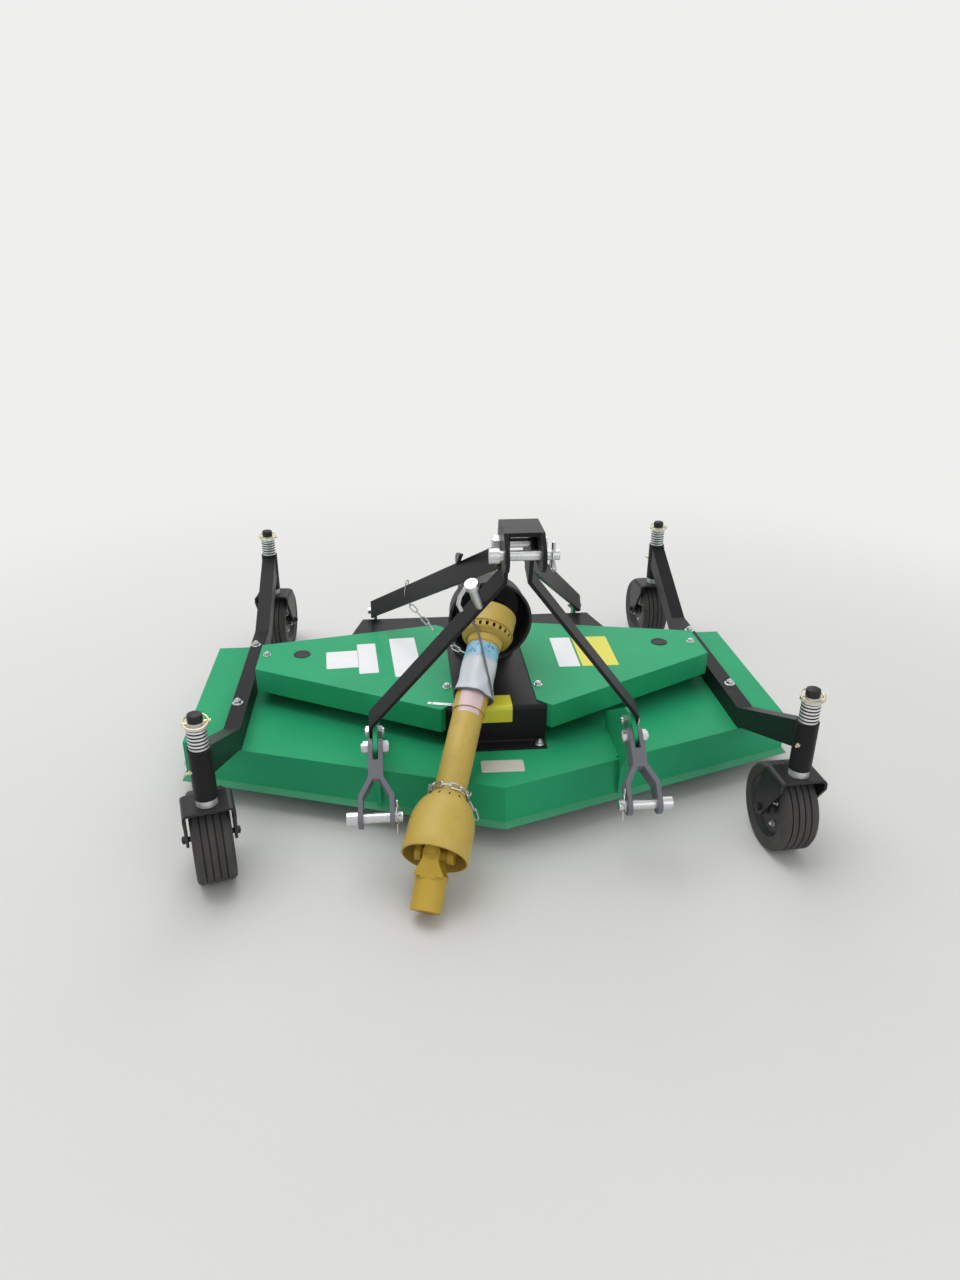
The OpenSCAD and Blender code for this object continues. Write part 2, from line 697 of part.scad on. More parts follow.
// Caster arms with their pivot tubes
module arm(s) color(black) side(s) {
  y1 = caster_base;
  zt = tube_top - 2;
  zb = zt - arm_end;
  difference() {
    union() {
      plate_yz(caster_x - arm_w / 2, caster_x + arm_w / 2, [
        [10, zt], [10, zb], [arm_bend_f - 8, deck_z], [arm_bend_r + 8, deck_z], [y1 - 10, zb], [y1 - 10, zt],
        [arm_bend_r, arm_z], [arm_bend_f, arm_z]]);
      for (y = [0, y1]) translate([caster_x, y, 0]) rod_z(tube_z, tube_top, tube_r);
    }
    for (y = [0, y1]) translate([caster_x, y, 0]) rod_z(tube_z - 1, tube_top + 1, stem_r + fit);
  }
}

// Casters
module caster_place(c) translate([c[X] * caster_x, c[END] * caster_base, 0]) rotate([0, 0, c[TURN]]) children();

module fork(c) color(black) caster_place(c) {
  w = fork_in + fork_t;
  zt = plate_z + fork_t;
  difference() {
    intersection() {
      translate([0, fork_rear + 40, 0]) rotate([90, 0, 0]) linear_extrude(fork_front + fork_rear + 80) polygon(concat(
        [[w, 0]], arc([w - fork_bend, zt - fork_bend], fork_bend, 0, 90),
        arc([fork_bend - w, zt - fork_bend], fork_bend, 90, 180), [[-w, 0], [-fork_in, 0]],
        arc([fork_bend - w, zt - fork_bend], fork_bend - fork_t, 180, 90),
        arc([w - fork_bend, zt - fork_bend], fork_bend - fork_t, 90, 0), [[fork_in, 0]]));
      plate_yz(-w, w, concat(
        [[-fork_front, zt], [-fork_front, plate_z - 18]], arc([trail, axle_z], fork_end_r, 190, 350),
        [[trail + fork_end_r, axle_z + 24], [fork_rear + 16, plate_z - 22], [fork_rear, zt]]));
    }
    rod_z(plate_z - 1, zt + 1, stem_r - 2);
    translate([0, trail, axle_z]) rod_x(-w - 1, w + 1, axle_r);
  }
  rod_z(plate_z, tube_z - collar_gap, collar_r);
  rod_z(tube_z - 1 - e, stem_top, stem_r);
}

// Spacer rings, washer and lynch ring over each pivot tube
module spacers(c) color(zinc) caster_place(c) difference() {
  union() {
    for (i = [0 : rings - 1]) translate([0, 0, tube_top + collar_gap + i * ring_h]) {
      rod_z(0.8, ring_h - 0.8, 20.5);
      rod_z(0, ring_h, 19.3);
    }
    rod_z(tube_top + collar_gap + rings * ring_h, tube_top + collar_gap + rings * ring_h + 3, 22);
  }
  rod_z(tube_top - 1, stem_top + 1, stem_r);
}

// Section of a ribbed tyre, from one bead over the tread to the other
function tyre_pts(r, w, n, deep) = let (p = 0.86 * w / n, x0 = -0.43 * w)
  concat([[r - rim_depth, 4 - w / 2], [r - 12, -w / 2], [r - deep, 1 - w / 2]],
    [for (i = [0 : n - 1]) each concat(
      [[r, x0 + i * p + 1.2], [r, x0 + (i + 1) * p - 1.8]],
      i < n - 1 ? [[r - deep, x0 + (i + 1) * p - 1.2], [r - deep, x0 + (i + 1) * p + 0.6]] : [])],
    [[r - deep, w / 2 - 1], [r - 12, w / 2], [r - rim_depth, w / 2 - 4]]);

module wheel_place(c) caster_place(c) translate([0, trail, axle_z]) rotate([0, 90, 0]) children();

module tyre(c) color(rubber) wheel_place(c) rotate_extrude($fn = 32)
  polygon(tyre_pts(wheel_r, tyre_w, 5, 5));

module rim(c) color(black) wheel_place(c) {
  r = wheel_r - rim_depth;
  h = tyre_w / 2;
  rotate_extrude() polygon([
    [0, -h], [18, -h], [18, 8 - h], [24, 14 - h], [r - 16, 14 - h], [r - 6, 4 - h], [r, 4 - h],
    [r, h - 4], [r - 6, h - 4], [r - 16, h - 14], [24, h - 14], [18, h - 8], [18, h], [0, h]]);
  translate([0, 0, -fork_in - fork_t - 8]) cylinder(r = axle_r - fit, h = 2 * (fork_in + fork_t) + 16);
  for (m = [0, 1]) mirror([0, 0, m]) translate([0, 0, fork_in + fork_t + 0.5]) cylinder(r = 9.5, h = 6, $fn = 6);
}

// Blade, shaft and pulley turn together
module rotor(c, a) color(steel) translate([c[0], c[1], 0]) {
  rod_z(blade_z - 12, blade_z + e, 20);
  rod_z(blade_z + blade_t - e, blade_z + blade_t + 10, 32);
  rod_z(blade_z + blade_t, pulley_z + pulley_t + 12, spindle_r);
  rod_z(pulley_z, pulley_z + pulley_t, pulley_r);
  rotate([0, 0, a]) intersection() {
    rod_z(blade_z, blade_z + 40, blade_r);
    union() {
      translate([-blade_r, -blade_w / 2, blade_z]) cube([2 * blade_r, blade_w, blade_t]);
      for (k = [0, 180]) rotate([0, 0, k]) translate([blade_r - 92, blade_w / 2 - 5, blade_z]) rotate([38, 0, 0])
        cube([92, 30, blade_t]);
    }
  }
}

// Drive shaft frames: local -Y runs down the shaft from the upper joint
module upper_place() translate([0, joint_y, input_z]) children();
module swung_place() upper_place() rotate([0, 0, -shaft_swing]) children();
module shaft_place() swung_place() rotate([shaft_drop, 0, 0]) children();
module lower_place() shaft_place() translate([0, -shaft_len, 0]) rotate([end_drop - shaft_drop, 0, 0]) children();

// Yoke with its ears across X and its hub towards +Y
module yoke(len, hub) difference() {
  union() {
    intersection() {
      translate([0, 0, -ear_r - 1]) linear_extrude(2 * ear_r + 2) for (m = [0, 1]) mirror([m, 0, 0]) polygon([
        [ear_out, -ear_r - 1], [ear_out, len - yoke_shoulder], [hub_r, len + 2], [-e, len + 2], [-e, len - yoke_web],
        [ear_out - ear_t - 8, len - yoke_web], [ear_out - ear_t, len - yoke_web - 14],
        [ear_out - ear_t, -ear_r - 1]]);
      plate_yz(-ear_out, ear_out, concat(arc([0, 0], ear_r, 90, 270, 12), [[len + 2, -ear_r], [len + 2, ear_r]]));
    }
    rod_y(len - yoke_web, len + hub, hub_r);
  }
  rod_x(-60, 60, cap_r + fit);
}

// Cross with one arm along X and one along the other named axis
module cross_arms() {
  rod_x(-ear_out + 1, ear_out - 1, cap_r);
  rod_z(-ear_out + 1, ear_out - 1, cap_r);
}

module cross_upper() color(steel) swung_place() cross_arms();

module cross_lower() color(steel) lower_place() cross_arms();

// Turned shell about the shaft from [radius, distance down the shaft] points, guard_wall thick
module turned_shell(pts) rotate([90, 0, 0]) rotate_extrude($fn = 72) polygon(concat(pts,
  [for (i = [len(pts) - 1 : -1 : 0])
    pts[i] - [guard_wall, i > 0 && i < len(pts) - 1 ? guard_wall / 2 : 0]]));

// Bearing ring that carries a guard on its yoke's hub
module guard_bearing(r) translate([0, -yoke_len - 14, 0]) rotate([90, 0, 0]) difference() {
  cylinder(r = r, h = guard_ring);
  translate([0, 0, -1]) cylinder(r = hub_r + fit, h = guard_ring + 2);
}

// Guard tube between two distances down the shaft
module guard_tube(r, from, to) difference() {
  rod_y(-to, -from, r);
  rod_y(-to - 1, -from + 1, r - guard_wall);
}

module yoke_upper() color(steel) shaft_place() mirror([0, 1, 0]) yoke(yoke_len, yoke_hub);

module shaft_upper() color(steel) shaft_place() rod_y(190 - shaft_len, -yoke_len - yoke_hub, inner_shaft_r);

module bell_upper() color(yellow) shaft_place()
  turned_shell([[bell_r1, -bell_over], [bell_r1 - bell_taper, bell_split1]]);

// Vented shoulder with its step and neck
module cone_upper() color(yellow) shaft_place() {
  r = bell_r1 - bell_taper;
  difference() {
    turned_shell([[r, bell_split1], [r - 3, bell_split1 + 12], [r - 5, bell_split1 + 14],
      [guard_r1 + 7, bell_split1 + 19], [guard_r1 + 5, bell_split1 + 21], [guard_r1 + 1.5, bell_len1]]);
    for (i = [0 : vents - 1]) rotate([0, i * 360 / vents, 0])
      translate([r - 12, -bell_split1 - 1.5 - vent_len, -vent_w / 2]) cube([30, vent_len, vent_w]);
  }
  guard_bearing(guard_r1 + 4);
  guard_tube(guard_r1, bell_len1 - neck_len, bell_len1);
}

module guard_upper() color(yellow) shaft_place() guard_tube(guard_r1, bell_len1, bell_len1 + guard_len1);

module yoke_lower() color(steel) shaft_place() translate([0, -shaft_len, 0]) yoke(yoke_len, yoke_hub);

module shaft_lower() color(steel) shaft_place() translate([0, -shaft_len, 0]) difference() {
  rod_y(yoke_len + yoke_hub, shaft_len - 190, inner_shaft_r + 6);
  rod_y(yoke_len + yoke_hub + 6, shaft_len - 180, inner_shaft_r + fit);
}

// Guard of the tractor side, drawn from the lower joint up the shaft
module tractor_side() shaft_place() translate([0, -shaft_len, 0]) mirror([0, 1, 0]) children();

module bell_lower() color(yellow) tractor_side()
  turned_shell([[bell_r2, -bell_over], [bell_r2, bell_split2]]);

module cone_lower() color(yellow) tractor_side() {
  step = bell_len2 - bell_split2;
  turned_shell([[bell_r2, bell_split2], [bell_r2 - 12, bell_split2 + 0.42 * step],
    [guard_r2 + 14, bell_split2 + 0.71 * step], [guard_r2, bell_len2], [guard_r2, bell_len2 + neck_len]]);
  guard_bearing(bell_r2 - 5.5);
}

module guard_lower() color(yellow) tractor_side()
  guard_tube(guard_r2, bell_len2 + neck_len, shaft_len - bell_len1 - guard_end);

// Loose yoke for the tractor's shaft, its tip on the ground
module end_yoke() color(yellow) lower_place() difference() {
  mirror([0, 1, 0]) rotate([0, 90, 0]) yoke(yoke_len, hub_len);
  rod_y(-yoke_len - hub_len - 1, -yoke_len + yoke_web + 1, spline_r);
}

at_origin() deck();
at_origin() cover(-1);  // cover_left
at_origin() cover(1);  // cover_right
at_origin() drive_base();
at_origin() gearbox();
at_origin() drive_shield();
at_origin() belt();
at_origin() leg(-1);  // leg_left
at_origin() leg(1);  // leg_right
at_origin() strut(-1);  // strut_left
at_origin() strut(1);  // strut_right
at_origin() mast_bolts();
at_origin() top_bracket();
at_origin() top_pin();
at_origin() clevis(-1);  // clevis_left
at_origin() clevis(1);  // clevis_right
at_origin() link_pin(-1);  // link_pin_left
at_origin() link_pin(1);  // link_pin_right
at_origin() arm(-1);  // arm_left
at_origin() arm(1);  // arm_right
at_origin() fork(CASTERS[0]);  // fork_fl
at_origin() fork(CASTERS[1]);  // fork_fr
at_origin() fork(CASTERS[2]);  // fork_rl
at_origin() fork(CASTERS[3]);  // fork_rr
at_origin() spacers(CASTERS[0]);  // spacers_fl
at_origin() spacers(CASTERS[1]);  // spacers_fr
at_origin() spacers(CASTERS[2]);  // spacers_rl
at_origin() spacers(CASTERS[3]);  // spacers_rr
at_origin() rim(CASTERS[0]);  // rim_fl
at_origin() rim(CASTERS[1]);  // rim_fr
at_origin() rim(CASTERS[2]);  // rim_rl
at_origin() rim(CASTERS[3]);  // rim_rr
at_origin() tyre(CASTERS[0]);  // tyre_fl
at_origin() tyre(CASTERS[1]);  // tyre_fr
at_origin() tyre(CASTERS[2]);  // tyre_rl
at_origin() tyre(CASTERS[3]);  // tyre_rr
at_origin() rotor(SPINDLES[0], 20);  // rotor_left
at_origin() rotor(SPINDLES[1], 80);  // rotor_centre
at_origin() rotor(SPINDLES[2], -35);  // rotor_right
at_origin() cross_upper();
at_origin() yoke_upper();
at_origin() shaft_upper();
at_origin() bell_upper();
at_origin() cone_upper();
at_origin() guard_upper();
at_origin() yoke_lower();
at_origin() shaft_lower();
at_origin() bell_lower();
at_origin() cone_lower();
at_origin() guard_lower();
at_origin() cross_lower();
at_origin() end_yoke();
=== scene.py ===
import math
import random

import bmesh
import bpy
from bpy.props import FloatProperty, FloatVectorProperty, PointerProperty
from mathutils import Euler, Matrix, Vector, noise


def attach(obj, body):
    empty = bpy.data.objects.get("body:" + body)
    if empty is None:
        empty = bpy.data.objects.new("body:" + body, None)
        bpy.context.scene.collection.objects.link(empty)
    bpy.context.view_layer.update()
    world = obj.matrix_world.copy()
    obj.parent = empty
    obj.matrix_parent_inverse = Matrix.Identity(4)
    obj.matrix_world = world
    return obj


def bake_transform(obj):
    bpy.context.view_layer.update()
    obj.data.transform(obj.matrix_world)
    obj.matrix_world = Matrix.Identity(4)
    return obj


bl_info = {
    "name": "Finishing mower dressing",
    "version": (1, 0, 0),
    "blender": (4, 5, 0),
    "location": "View3D > Sidebar > Mower",
    "description": "Dresses the packed finishing mower: finishes, fasteners, trim, chains and the stage",
    "category": "Object",
}

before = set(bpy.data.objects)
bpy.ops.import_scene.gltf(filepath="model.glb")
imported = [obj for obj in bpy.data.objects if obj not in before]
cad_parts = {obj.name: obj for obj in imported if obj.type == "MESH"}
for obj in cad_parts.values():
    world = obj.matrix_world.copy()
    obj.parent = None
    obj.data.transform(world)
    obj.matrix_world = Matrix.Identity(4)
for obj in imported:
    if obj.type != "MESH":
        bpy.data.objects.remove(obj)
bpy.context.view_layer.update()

# Sizes and places repeated from the part's source, in millimetres, Y counted from the front caster pins
ORIGIN_Y = 581.5
DECK_Z = 157
COVER_Z = 260
LIP_TOP = 64
ARM_TOP = 207
CASTER_X = 635
CASTER_BASE = 1183
WHEEL_R = 101.5
AXLE_HALF = 27.8
FORK_TOP = 216.5
TRAIL = 48
TUBE_TOP = 349
STEM_TOP = 424
RING_PITCH = 8
RINGS_TOP = TUBE_TOP + 48.5
NIPPLE_Z = 300
HITCH_X = 287
HITCH_PLATE = 12
HITCH = (98, 272)
MAST = (-20, 772)
CLEVIS_DROP = 42
CLEVIS_LEN = 154
JOINT = (0, 456, 409)
SHAFT_LEN = 628
SHAFT_DROP = 28.9
SHAFT_SWING = 17.7
END_DROP = 43.62
GUARD_R1 = 39
GUARD_R2 = 36
BELL_LEN1 = 88
GUARD_STEP = BELL_LEN1 + 190
BASE_FRONT = 282
BASE_BEND = 11
BASE_TOP = 257
STRUT_LOW = (300, 858, 277)
STRUT_TOP = (27.5, 35, 730)
GEAR_Y = 616
GEAR_FLANGE = 72
CASTERS = {"fl": (-1, 0, 15), "fr": (1, 0, 3), "rl": (-1, 1, -6), "rr": (1, 1, 4)}

# Places of the trim in the same frame; what is mirrored has the X of its right one
ARM_BOLTS = (640, (448, 796))
FOOT_BOLTS = (104, 264, DECK_Z + 4)
LIP_BOLT = (763, 378, 80)
COVER_BOLTS = ((-582, 612), (-114, 390), (577, 605), (115, 384))
PLUGS = (489, 610)
BRACKET_WELD = range(192, 334, 6)
STRUT_WELDS = (296, (849, 885))
LATCH = (-133, 302)
LATCH_TURN = -13
PLATE = (3, 177)
PLATE_TURN = -1.6
LINK_CLIP_OUT = 43.5
TOP_CLIP = (52, MAST[0] - 75, MAST[1] - 10)
TAB_ALONG = 735
EAR_OUT = 42.2
SPARE_PIN = ((-89, -20, 693), (-69, 9, 632))
SPARE_HANDLE = ((-101, -21, 682), (-110, -22, 667), (-113, -22, 652), (-107, -21, 638))

# From the source's millimetres to the frame's metres
MM = Matrix.Scale(0.001, 4) @ Matrix.Translation((0, -ORIGIN_Y, 0))


# Sizes and colours that a user would change

class StageSettings(bpy.types.PropertyGroup):
    place: FloatVectorProperty(name="Camera place", description="Where the camera stands", unit="LENGTH",
                               default=(-0.2233, -2.1679, 1.2969))
    turn: FloatVectorProperty(name="Camera turn", description="Euler angles of the camera", unit="ROTATION",
                              default=tuple(map(math.radians, (65.358, -0.323, -5.398))))
    lens: FloatProperty(name="Lens", description="Focal length in millimetres", default=33.5)
    floor: FloatVectorProperty(name="Floor", description="Colour of the floor", subtype="COLOR",
                               default=(0.66, 0.655, 0.645))
    back: FloatVectorProperty(name="Background", description="Colour behind the floor as the camera sees it",
                              subtype="COLOR", default=(0.87, 0.868, 0.862))
    key: FloatProperty(name="Key light", description="Power of the large soft light", unit="POWER",
                       default=105.0)
    sky: FloatProperty(name="Sky", description="Strength of the even light all round", default=0.62)


class FinishSettings(bpy.types.PropertyGroup):
    green: FloatVectorProperty(name="Deck green", description="Enamel of deck and covers", subtype="COLOR",
                               default=(0.021, 0.345, 0.150))
    black: FloatVectorProperty(name="Frame black", description="Enamel of mast and arms", subtype="COLOR",
                               default=(0.013, 0.0135, 0.015))
    grey: FloatVectorProperty(name="Clevis grey", description="Enamel of the clevises", subtype="COLOR",
                              default=(0.150, 0.150, 0.178))
    guard: FloatVectorProperty(name="Guard yellow", description="Moulded plastic of the shaft guards",
                               subtype="COLOR", default=(0.56, 0.405, 0.088))
    zinc: FloatVectorProperty(name="Zinc", description="Bright plating of pins and bolts", subtype="COLOR",
                              default=(0.72, 0.73, 0.74))
    gold: FloatVectorProperty(name="Yellow zinc", description="Yellow plating of clips and grease nipples",
                              subtype="COLOR", default=(0.76, 0.69, 0.44))
    rubber: FloatVectorProperty(name="Tyre rubber", description="Rubber of the tyres", subtype="COLOR",
                                default=(0.036, 0.034, 0.033))
    sign: FloatVectorProperty(name="Sign yellow", description="Blank warning plates", subtype="COLOR",
                              default=(0.72, 0.68, 0.035))


class FastenerSettings(bpy.types.PropertyGroup):
    across: FloatProperty(name="Bolt width", description="Width of the hexagons over the corners, in mm",
                          default=19.0)
    height: FloatProperty(name="Bolt height", description="Height of the hexagons in mm", default=7.5)
    washer: FloatProperty(name="Washer", description="Diameter of the washers in mm", default=24.0)


class ChainSettings(bpy.types.PropertyGroup):
    wire: FloatProperty(name="Chain wire", description="Thickness of the guard chains' wire in mm",
                        default=3.4)
    pitch: FloatProperty(name="Chain pitch", description="Length of one link inside in mm", default=22.0)


# Shader arithmetic

class Wire:
    """One output socket of a material. Arithmetic on wires adds Math nodes."""

    def __init__(self, finish, socket):
        self.finish = finish
        self.socket = socket

    def math(self, operation, *values, clamp=False):
        settings = {"operation": operation, "use_clamp": clamp}
        return self.finish.add("ShaderNodeMath", settings, dict(enumerate(values)))

    def __add__(self, other):
        return self.math("ADD", self, other)

    __radd__ = __add__

    def __sub__(self, other):
        return self.math("SUBTRACT", self, other)

    def __rsub__(self, other):
        return self.math("SUBTRACT", other, self)

    def __mul__(self, other):
        return self.math("MULTIPLY", self, other)

    __rmul__ = __mul__

    def __truediv__(self, other):
        return self.math("DIVIDE", self, other)

    def above(self, edge, soft):
        """0 below the edge, 1 above it, with a soft step between."""
        return self.finish.add("ShaderNodeMapRange", {"interpolation_type": "SMOOTHSTEP"},
                               {"Value": self, "From Min": edge - soft, "From Max": edge + soft})

    def below(self, edge, soft):
        return 1.0 - self.above(edge, soft)


class Finish:
    """A material built from nodes, all of which come from add()."""

    def __init__(self, name):
        self.material = bpy.data.materials.new(name)
        self.material.use_nodes = True
        self.tree = self.material.node_tree
        self.shader = self.tree.nodes["Principled BSDF"]
        self.point = self.add("ShaderNodeTexCoord", out="Object")
        self.normal = None

    def add(self, kind, settings=None, sockets=None, out=0):
        node = self.tree.nodes.new(kind)
        for key, value in (settings or {}).items():
            if key == "stops":
                ramp = node.color_ramp
                while len(ramp.elements) < len(value):
                    ramp.elements.new(0.5)
                for element, (position, colour) in zip(ramp.elements, value):
                    element.position = position
                    element.color = (*colour, 1)
            else:
                setattr(node, key, value)
        for key, value in (sockets or {}).items():
            self.plug(node.inputs[key], value)
        return Wire(self, node.outputs[out])

    def plug(self, socket, value):
        if isinstance(value, Wire):
            self.tree.links.new(value.socket, socket)
        elif socket.type == "RGBA" and len(value) == 3:
            socket.default_value = (*value, 1)
        else:
            socket.default_value = value

    def set(self, **values):
        for key, value in values.items():
            self.plug(self.shader.inputs[key.replace("_", " ")], value)

    def noise(self, scale, detail=3.0, rough=0.55, stretch=None):
        point = self.stretched(stretch) if stretch else self.point
        return self.add("ShaderNodeTexNoise", {},
                        {"Vector": point, "Scale": scale, "Detail": detail, "Roughness": rough})

    def stretched(self, scale):
        return self.add("ShaderNodeMapping", {}, {"Vector": self.point, "Scale": scale})

    def mix(self, mask, low, high):
        return self.add("ShaderNodeMix", {"data_type": "RGBA"}, {0: mask, 6: low, 7: high}, out=2)

    def axis(self, name):
        return self.add("ShaderNodeSeparateXYZ", {}, {0: self.point}, out=name)

    def rounded(self, radius):
        """Normals as if the edges were rounded off, for the sharp solids."""
        self.normal = self.add("ShaderNodeBevel", {"samples": 4}, {"Radius": radius})

    def edges(self, radius, gain):
        """1 along edges, 0 on flats."""
        bevel = self.add("ShaderNodeBevel", {"samples": 4}, {"Radius": radius})
        flat = self.add("ShaderNodeNewGeometry", out="Normal")
        dot = self.add("ShaderNodeVectorMath", {"operation": "DOT_PRODUCT"}, {0: bevel, 1: flat}, out="Value")
        return (1.0 - dot).math("MULTIPLY", 1.0 - dot, gain, clamp=True)

    def bump(self, height, distance):
        sockets = {"Height": height, "Distance": distance, "Strength": 1.0}
        if self.normal:
            sockets["Normal"] = self.normal
        self.normal = self.add("ShaderNodeBump", {}, sockets)

    def colour(self):
        """The wire that the base colour has now, to mix over it."""
        return Wire(self, self.shader.inputs["Base Color"].links[0].from_socket)

    def done(self):
        if self.normal:
            self.set(Normal=self.normal)
        return self.material


def shade(colour, factor):
    return tuple(c * factor for c in colour)


def enamel(name, colour, edge_wear_and_highlight=0.5, rough=0.34, gloss=0.4):
    """Sprayed enamel: orange peel, faint clouds, dust in the hollows of the film, and bright edges that are
    partly worn paint and partly a painted highlight.
    """
    f = Finish(name)
    edge = 0.0022
    cloud = f.noise(7, 4, 0.6)
    speck = f.noise(420, 2, 0.5).above(0.66, 0.03)
    scuff = f.noise(38, 6, 0.68, (1, 1, 0.25)).above(0.63, 0.05)
    # Lighter edges: partly worn paint, partly a painted highlight along folds and corners.
    worn_and_edge_highlight = f.edges(edge, 2.2) * f.noise(60, 4).above(0.5, 0.16)
    base = f.mix(cloud, shade(colour, 0.84), shade(colour, 1.14))
    dusty = tuple(0.85 * c + 0.03 for c in colour)
    base = f.mix(speck * 0.35, base, dusty)
    base = f.mix(scuff * 0.16, base, dusty)
    base = f.mix(worn_and_edge_highlight * edge_wear_and_highlight, base, tuple(0.45 * c + 0.22 for c in colour))
    f.set(Base_Color=base, Roughness=rough + cloud * 0.10 + scuff * 0.12 - 0.05, Specular_IOR_Level=gloss)
    f.rounded(edge)
    f.bump(f.noise(260, 2, 0.4), 0.00012)
    return f


def plated(name, colour, rough=0.24):
    """Zinc plate: fine drawn grain, cloudy passivation and dull patches."""
    f = Finish(name)
    cloud = f.noise(45, 4, 0.6)
    line = f.noise(700, 2, 0.5, (1, 1, 8))
    spot = f.noise(160, 3, 0.6).above(0.62, 0.05)
    base = f.mix(cloud, shade(colour, 0.80), shade(colour, 1.08))
    base = f.mix(spot * 0.4, base, shade(colour, 0.55))
    f.set(Base_Color=base, Metallic=1.0, Roughness=rough + cloud * 0.16 + spot * 0.14)
    f.rounded(0.0008)
    f.bump(line, 0.00005)
    return f


def deck_enamel(name, colour):
    """Enamel whose flared lip, low down, is painted paler than the skirts above it, a painted highlight along
    the lip.
    """
    f = enamel(name, colour, edge_wear_and_highlight=0.3, rough=0.44, gloss=0.14)
    # Painted highlight: the lip below LIP_TOP is mixed paler in patches, as if it catches the light.
    painted_lip_highlight = f.axis("Z").below(LIP_TOP / 1000, 0.0006) * (0.35 + f.noise(30, 4) * 0.5)
    old = f.colour()
    f.set(Base_Color=f.mix(painted_lip_highlight, old, tuple(0.8 * c + 0.09 for c in colour)))
    return f


def moulded(name, colour, rough):
    """Moulded plastic: fine spark-eroded grain, flow clouds, scratches and dust."""
    f = Finish(name)
    cloud = f.noise(9, 4, 0.6)
    scratch = f.noise(90, 5, 0.7, (1, 1, 0.12)).above(0.64, 0.03)
    base = f.mix(cloud, shade(colour, 0.80), shade(colour, 1.14))
    base = f.mix(scratch * 0.3, base, tuple(0.6 * c + 0.14 for c in colour))
    # Lighter edges: partly rubbed plastic, partly a painted highlight along every edge.
    worn_and_edge_highlight = f.edges(0.0016, 1.8)
    base = f.mix(worn_and_edge_highlight * 0.35, base, tuple(0.7 * c + 0.12 for c in colour))
    f.set(Base_Color=base, Roughness=rough + cloud * 0.14 + scratch * 0.1 - 0.06, Specular_IOR_Level=0.42)
    f.rounded(0.0012)
    f.bump(f.noise(900, 2, 0.5), 0.00008)
    return f


def guard_plastic(name, colour):
    """Mustard polyethylene of the shaft guards, with flow streaks, scuffs and rubbed dirt."""
    f = Finish(name)
    cloud = f.noise(11, 5, 0.62)
    dirt = f.noise(34, 6, 0.7).above(0.60, 0.08)
    fine = f.noise(260, 3, 0.6)
    scuff = f.noise(120, 5, 0.7, (0.5, 0.12, 0.12)).above(0.66, 0.03)
    base = f.mix(cloud, shade(colour, 0.86), shade(colour, 1.12))
    base = f.mix(dirt * 0.30, base, shade(colour, 0.62))
    base = f.mix(scuff * 0.30, base, tuple(0.75 * c + 0.16 for c in colour))
    f.set(Base_Color=base, Roughness=0.36 + cloud * 0.12 + dirt * 0.16, Specular_IOR_Level=0.38)
    f.rounded(0.0012)
    f.bump(fine, 0.00007)
    f.bump(cloud, 0.0006)
    return f


def tyre_rubber(name, colour):
    """Ribbed tyre rubber: grey road dust on the crown and in the grooves, a fine moulded grain."""
    f = Finish(name)
    dust = f.noise(28, 5, 0.65)
    grit = f.noise(650, 3, 0.6)
    streak = f.noise(45, 4, 0.6, (1, 0.25, 0.25)).above(0.52, 0.14)
    base = f.mix(dust, shade(colour, 0.75), shade(colour, 1.5))
    base = f.mix(streak * 0.30, base, (0.10, 0.094, 0.09))
    base = f.mix(f.edges(0.0012, 2.0) * 0.4, base, (0.13, 0.12, 0.115))
    f.set(Base_Color=base, Roughness=0.52 + dust * 0.22, Specular_IOR_Level=0.45)
    f.rounded(0.0008)
    f.bump(grit, 0.0001)
    return f


def casting(name, colour):
    """Painted sand casting: coarse skin, cloudy primer and oily patches."""
    f = Finish(name)
    skin = f.noise(240, 4, 0.65)
    cloud = f.noise(14, 4, 0.6)
    oil = f.noise(22, 5, 0.7).above(0.6, 0.06)
    base = f.mix(cloud, shade(colour, 0.8), shade(colour, 1.25))
    base = f.mix(oil * 0.5, base, shade(colour, 0.45))
    base = f.mix(f.edges(0.002, 2.0) * 0.4, base, (0.22, 0.22, 0.22))
    f.set(Base_Color=base, Metallic=0.15, Roughness=0.56 - oil * 0.22)
    f.rounded(0.0025)
    f.bump(skin, 0.0006)
    return f


def bare_steel(name, colour, rough=0.36):
    """Turned and ground steel with an oil film and light rust freckles."""
    f = Finish(name)
    cloud = f.noise(30, 4, 0.6)
    rust = f.noise(75, 6, 0.72).above(0.63, 0.05)
    line = f.noise(500, 2, 0.5, (1, 9, 1))
    base = f.mix(cloud, shade(colour, 0.75), shade(colour, 1.2))
    base = f.mix(rust * 0.55, base, (0.14, 0.062, 0.028))
    f.set(Base_Color=base, Metallic=1.0 - rust * 0.7, Roughness=rough + cloud * 0.15 + rust * 0.3)
    f.rounded(0.001)
    f.bump(line, 0.00008)
    return f


def vinyl(name, colour):
    """Printed film: even colour, faint dirt, slightly lifted grain."""
    f = Finish(name)
    cloud = f.noise(20, 4, 0.6)
    dirt = f.noise(90, 5, 0.7).above(0.64, 0.06)
    base = f.mix(cloud, shade(colour, 0.93), shade(colour, 1.03))
    base = f.mix(dirt * 0.25, base, shade(colour, 0.6))
    f.set(Base_Color=base, Roughness=0.3 + cloud * 0.12)
    f.bump(f.noise(180, 2), 0.00005)
    return f


def ring_stack(name, colour):
    """Spacer rings: pale plated rings with black shadowed joints, counted up the stem."""
    f = plated(name, colour, 0.3)
    z = f.axis("Z")
    step = (z - TUBE_TOP / 1000 - 0.0003) / (RING_PITCH / 1000)
    saw = step.math("FRACT", step)
    dark = saw.below(0.13, 0.04) + saw.above(0.68, 0.04)
    washer = z.above(RINGS_TOP / 1000, 0.0002)
    dark = dark * (1.0 - washer)
    base = f.mix(dark, (0.80, 0.81, 0.82), (0.02, 0.02, 0.022))
    f.set(Base_Color=base, Metallic=0.55, Roughness=0.34)
    return f


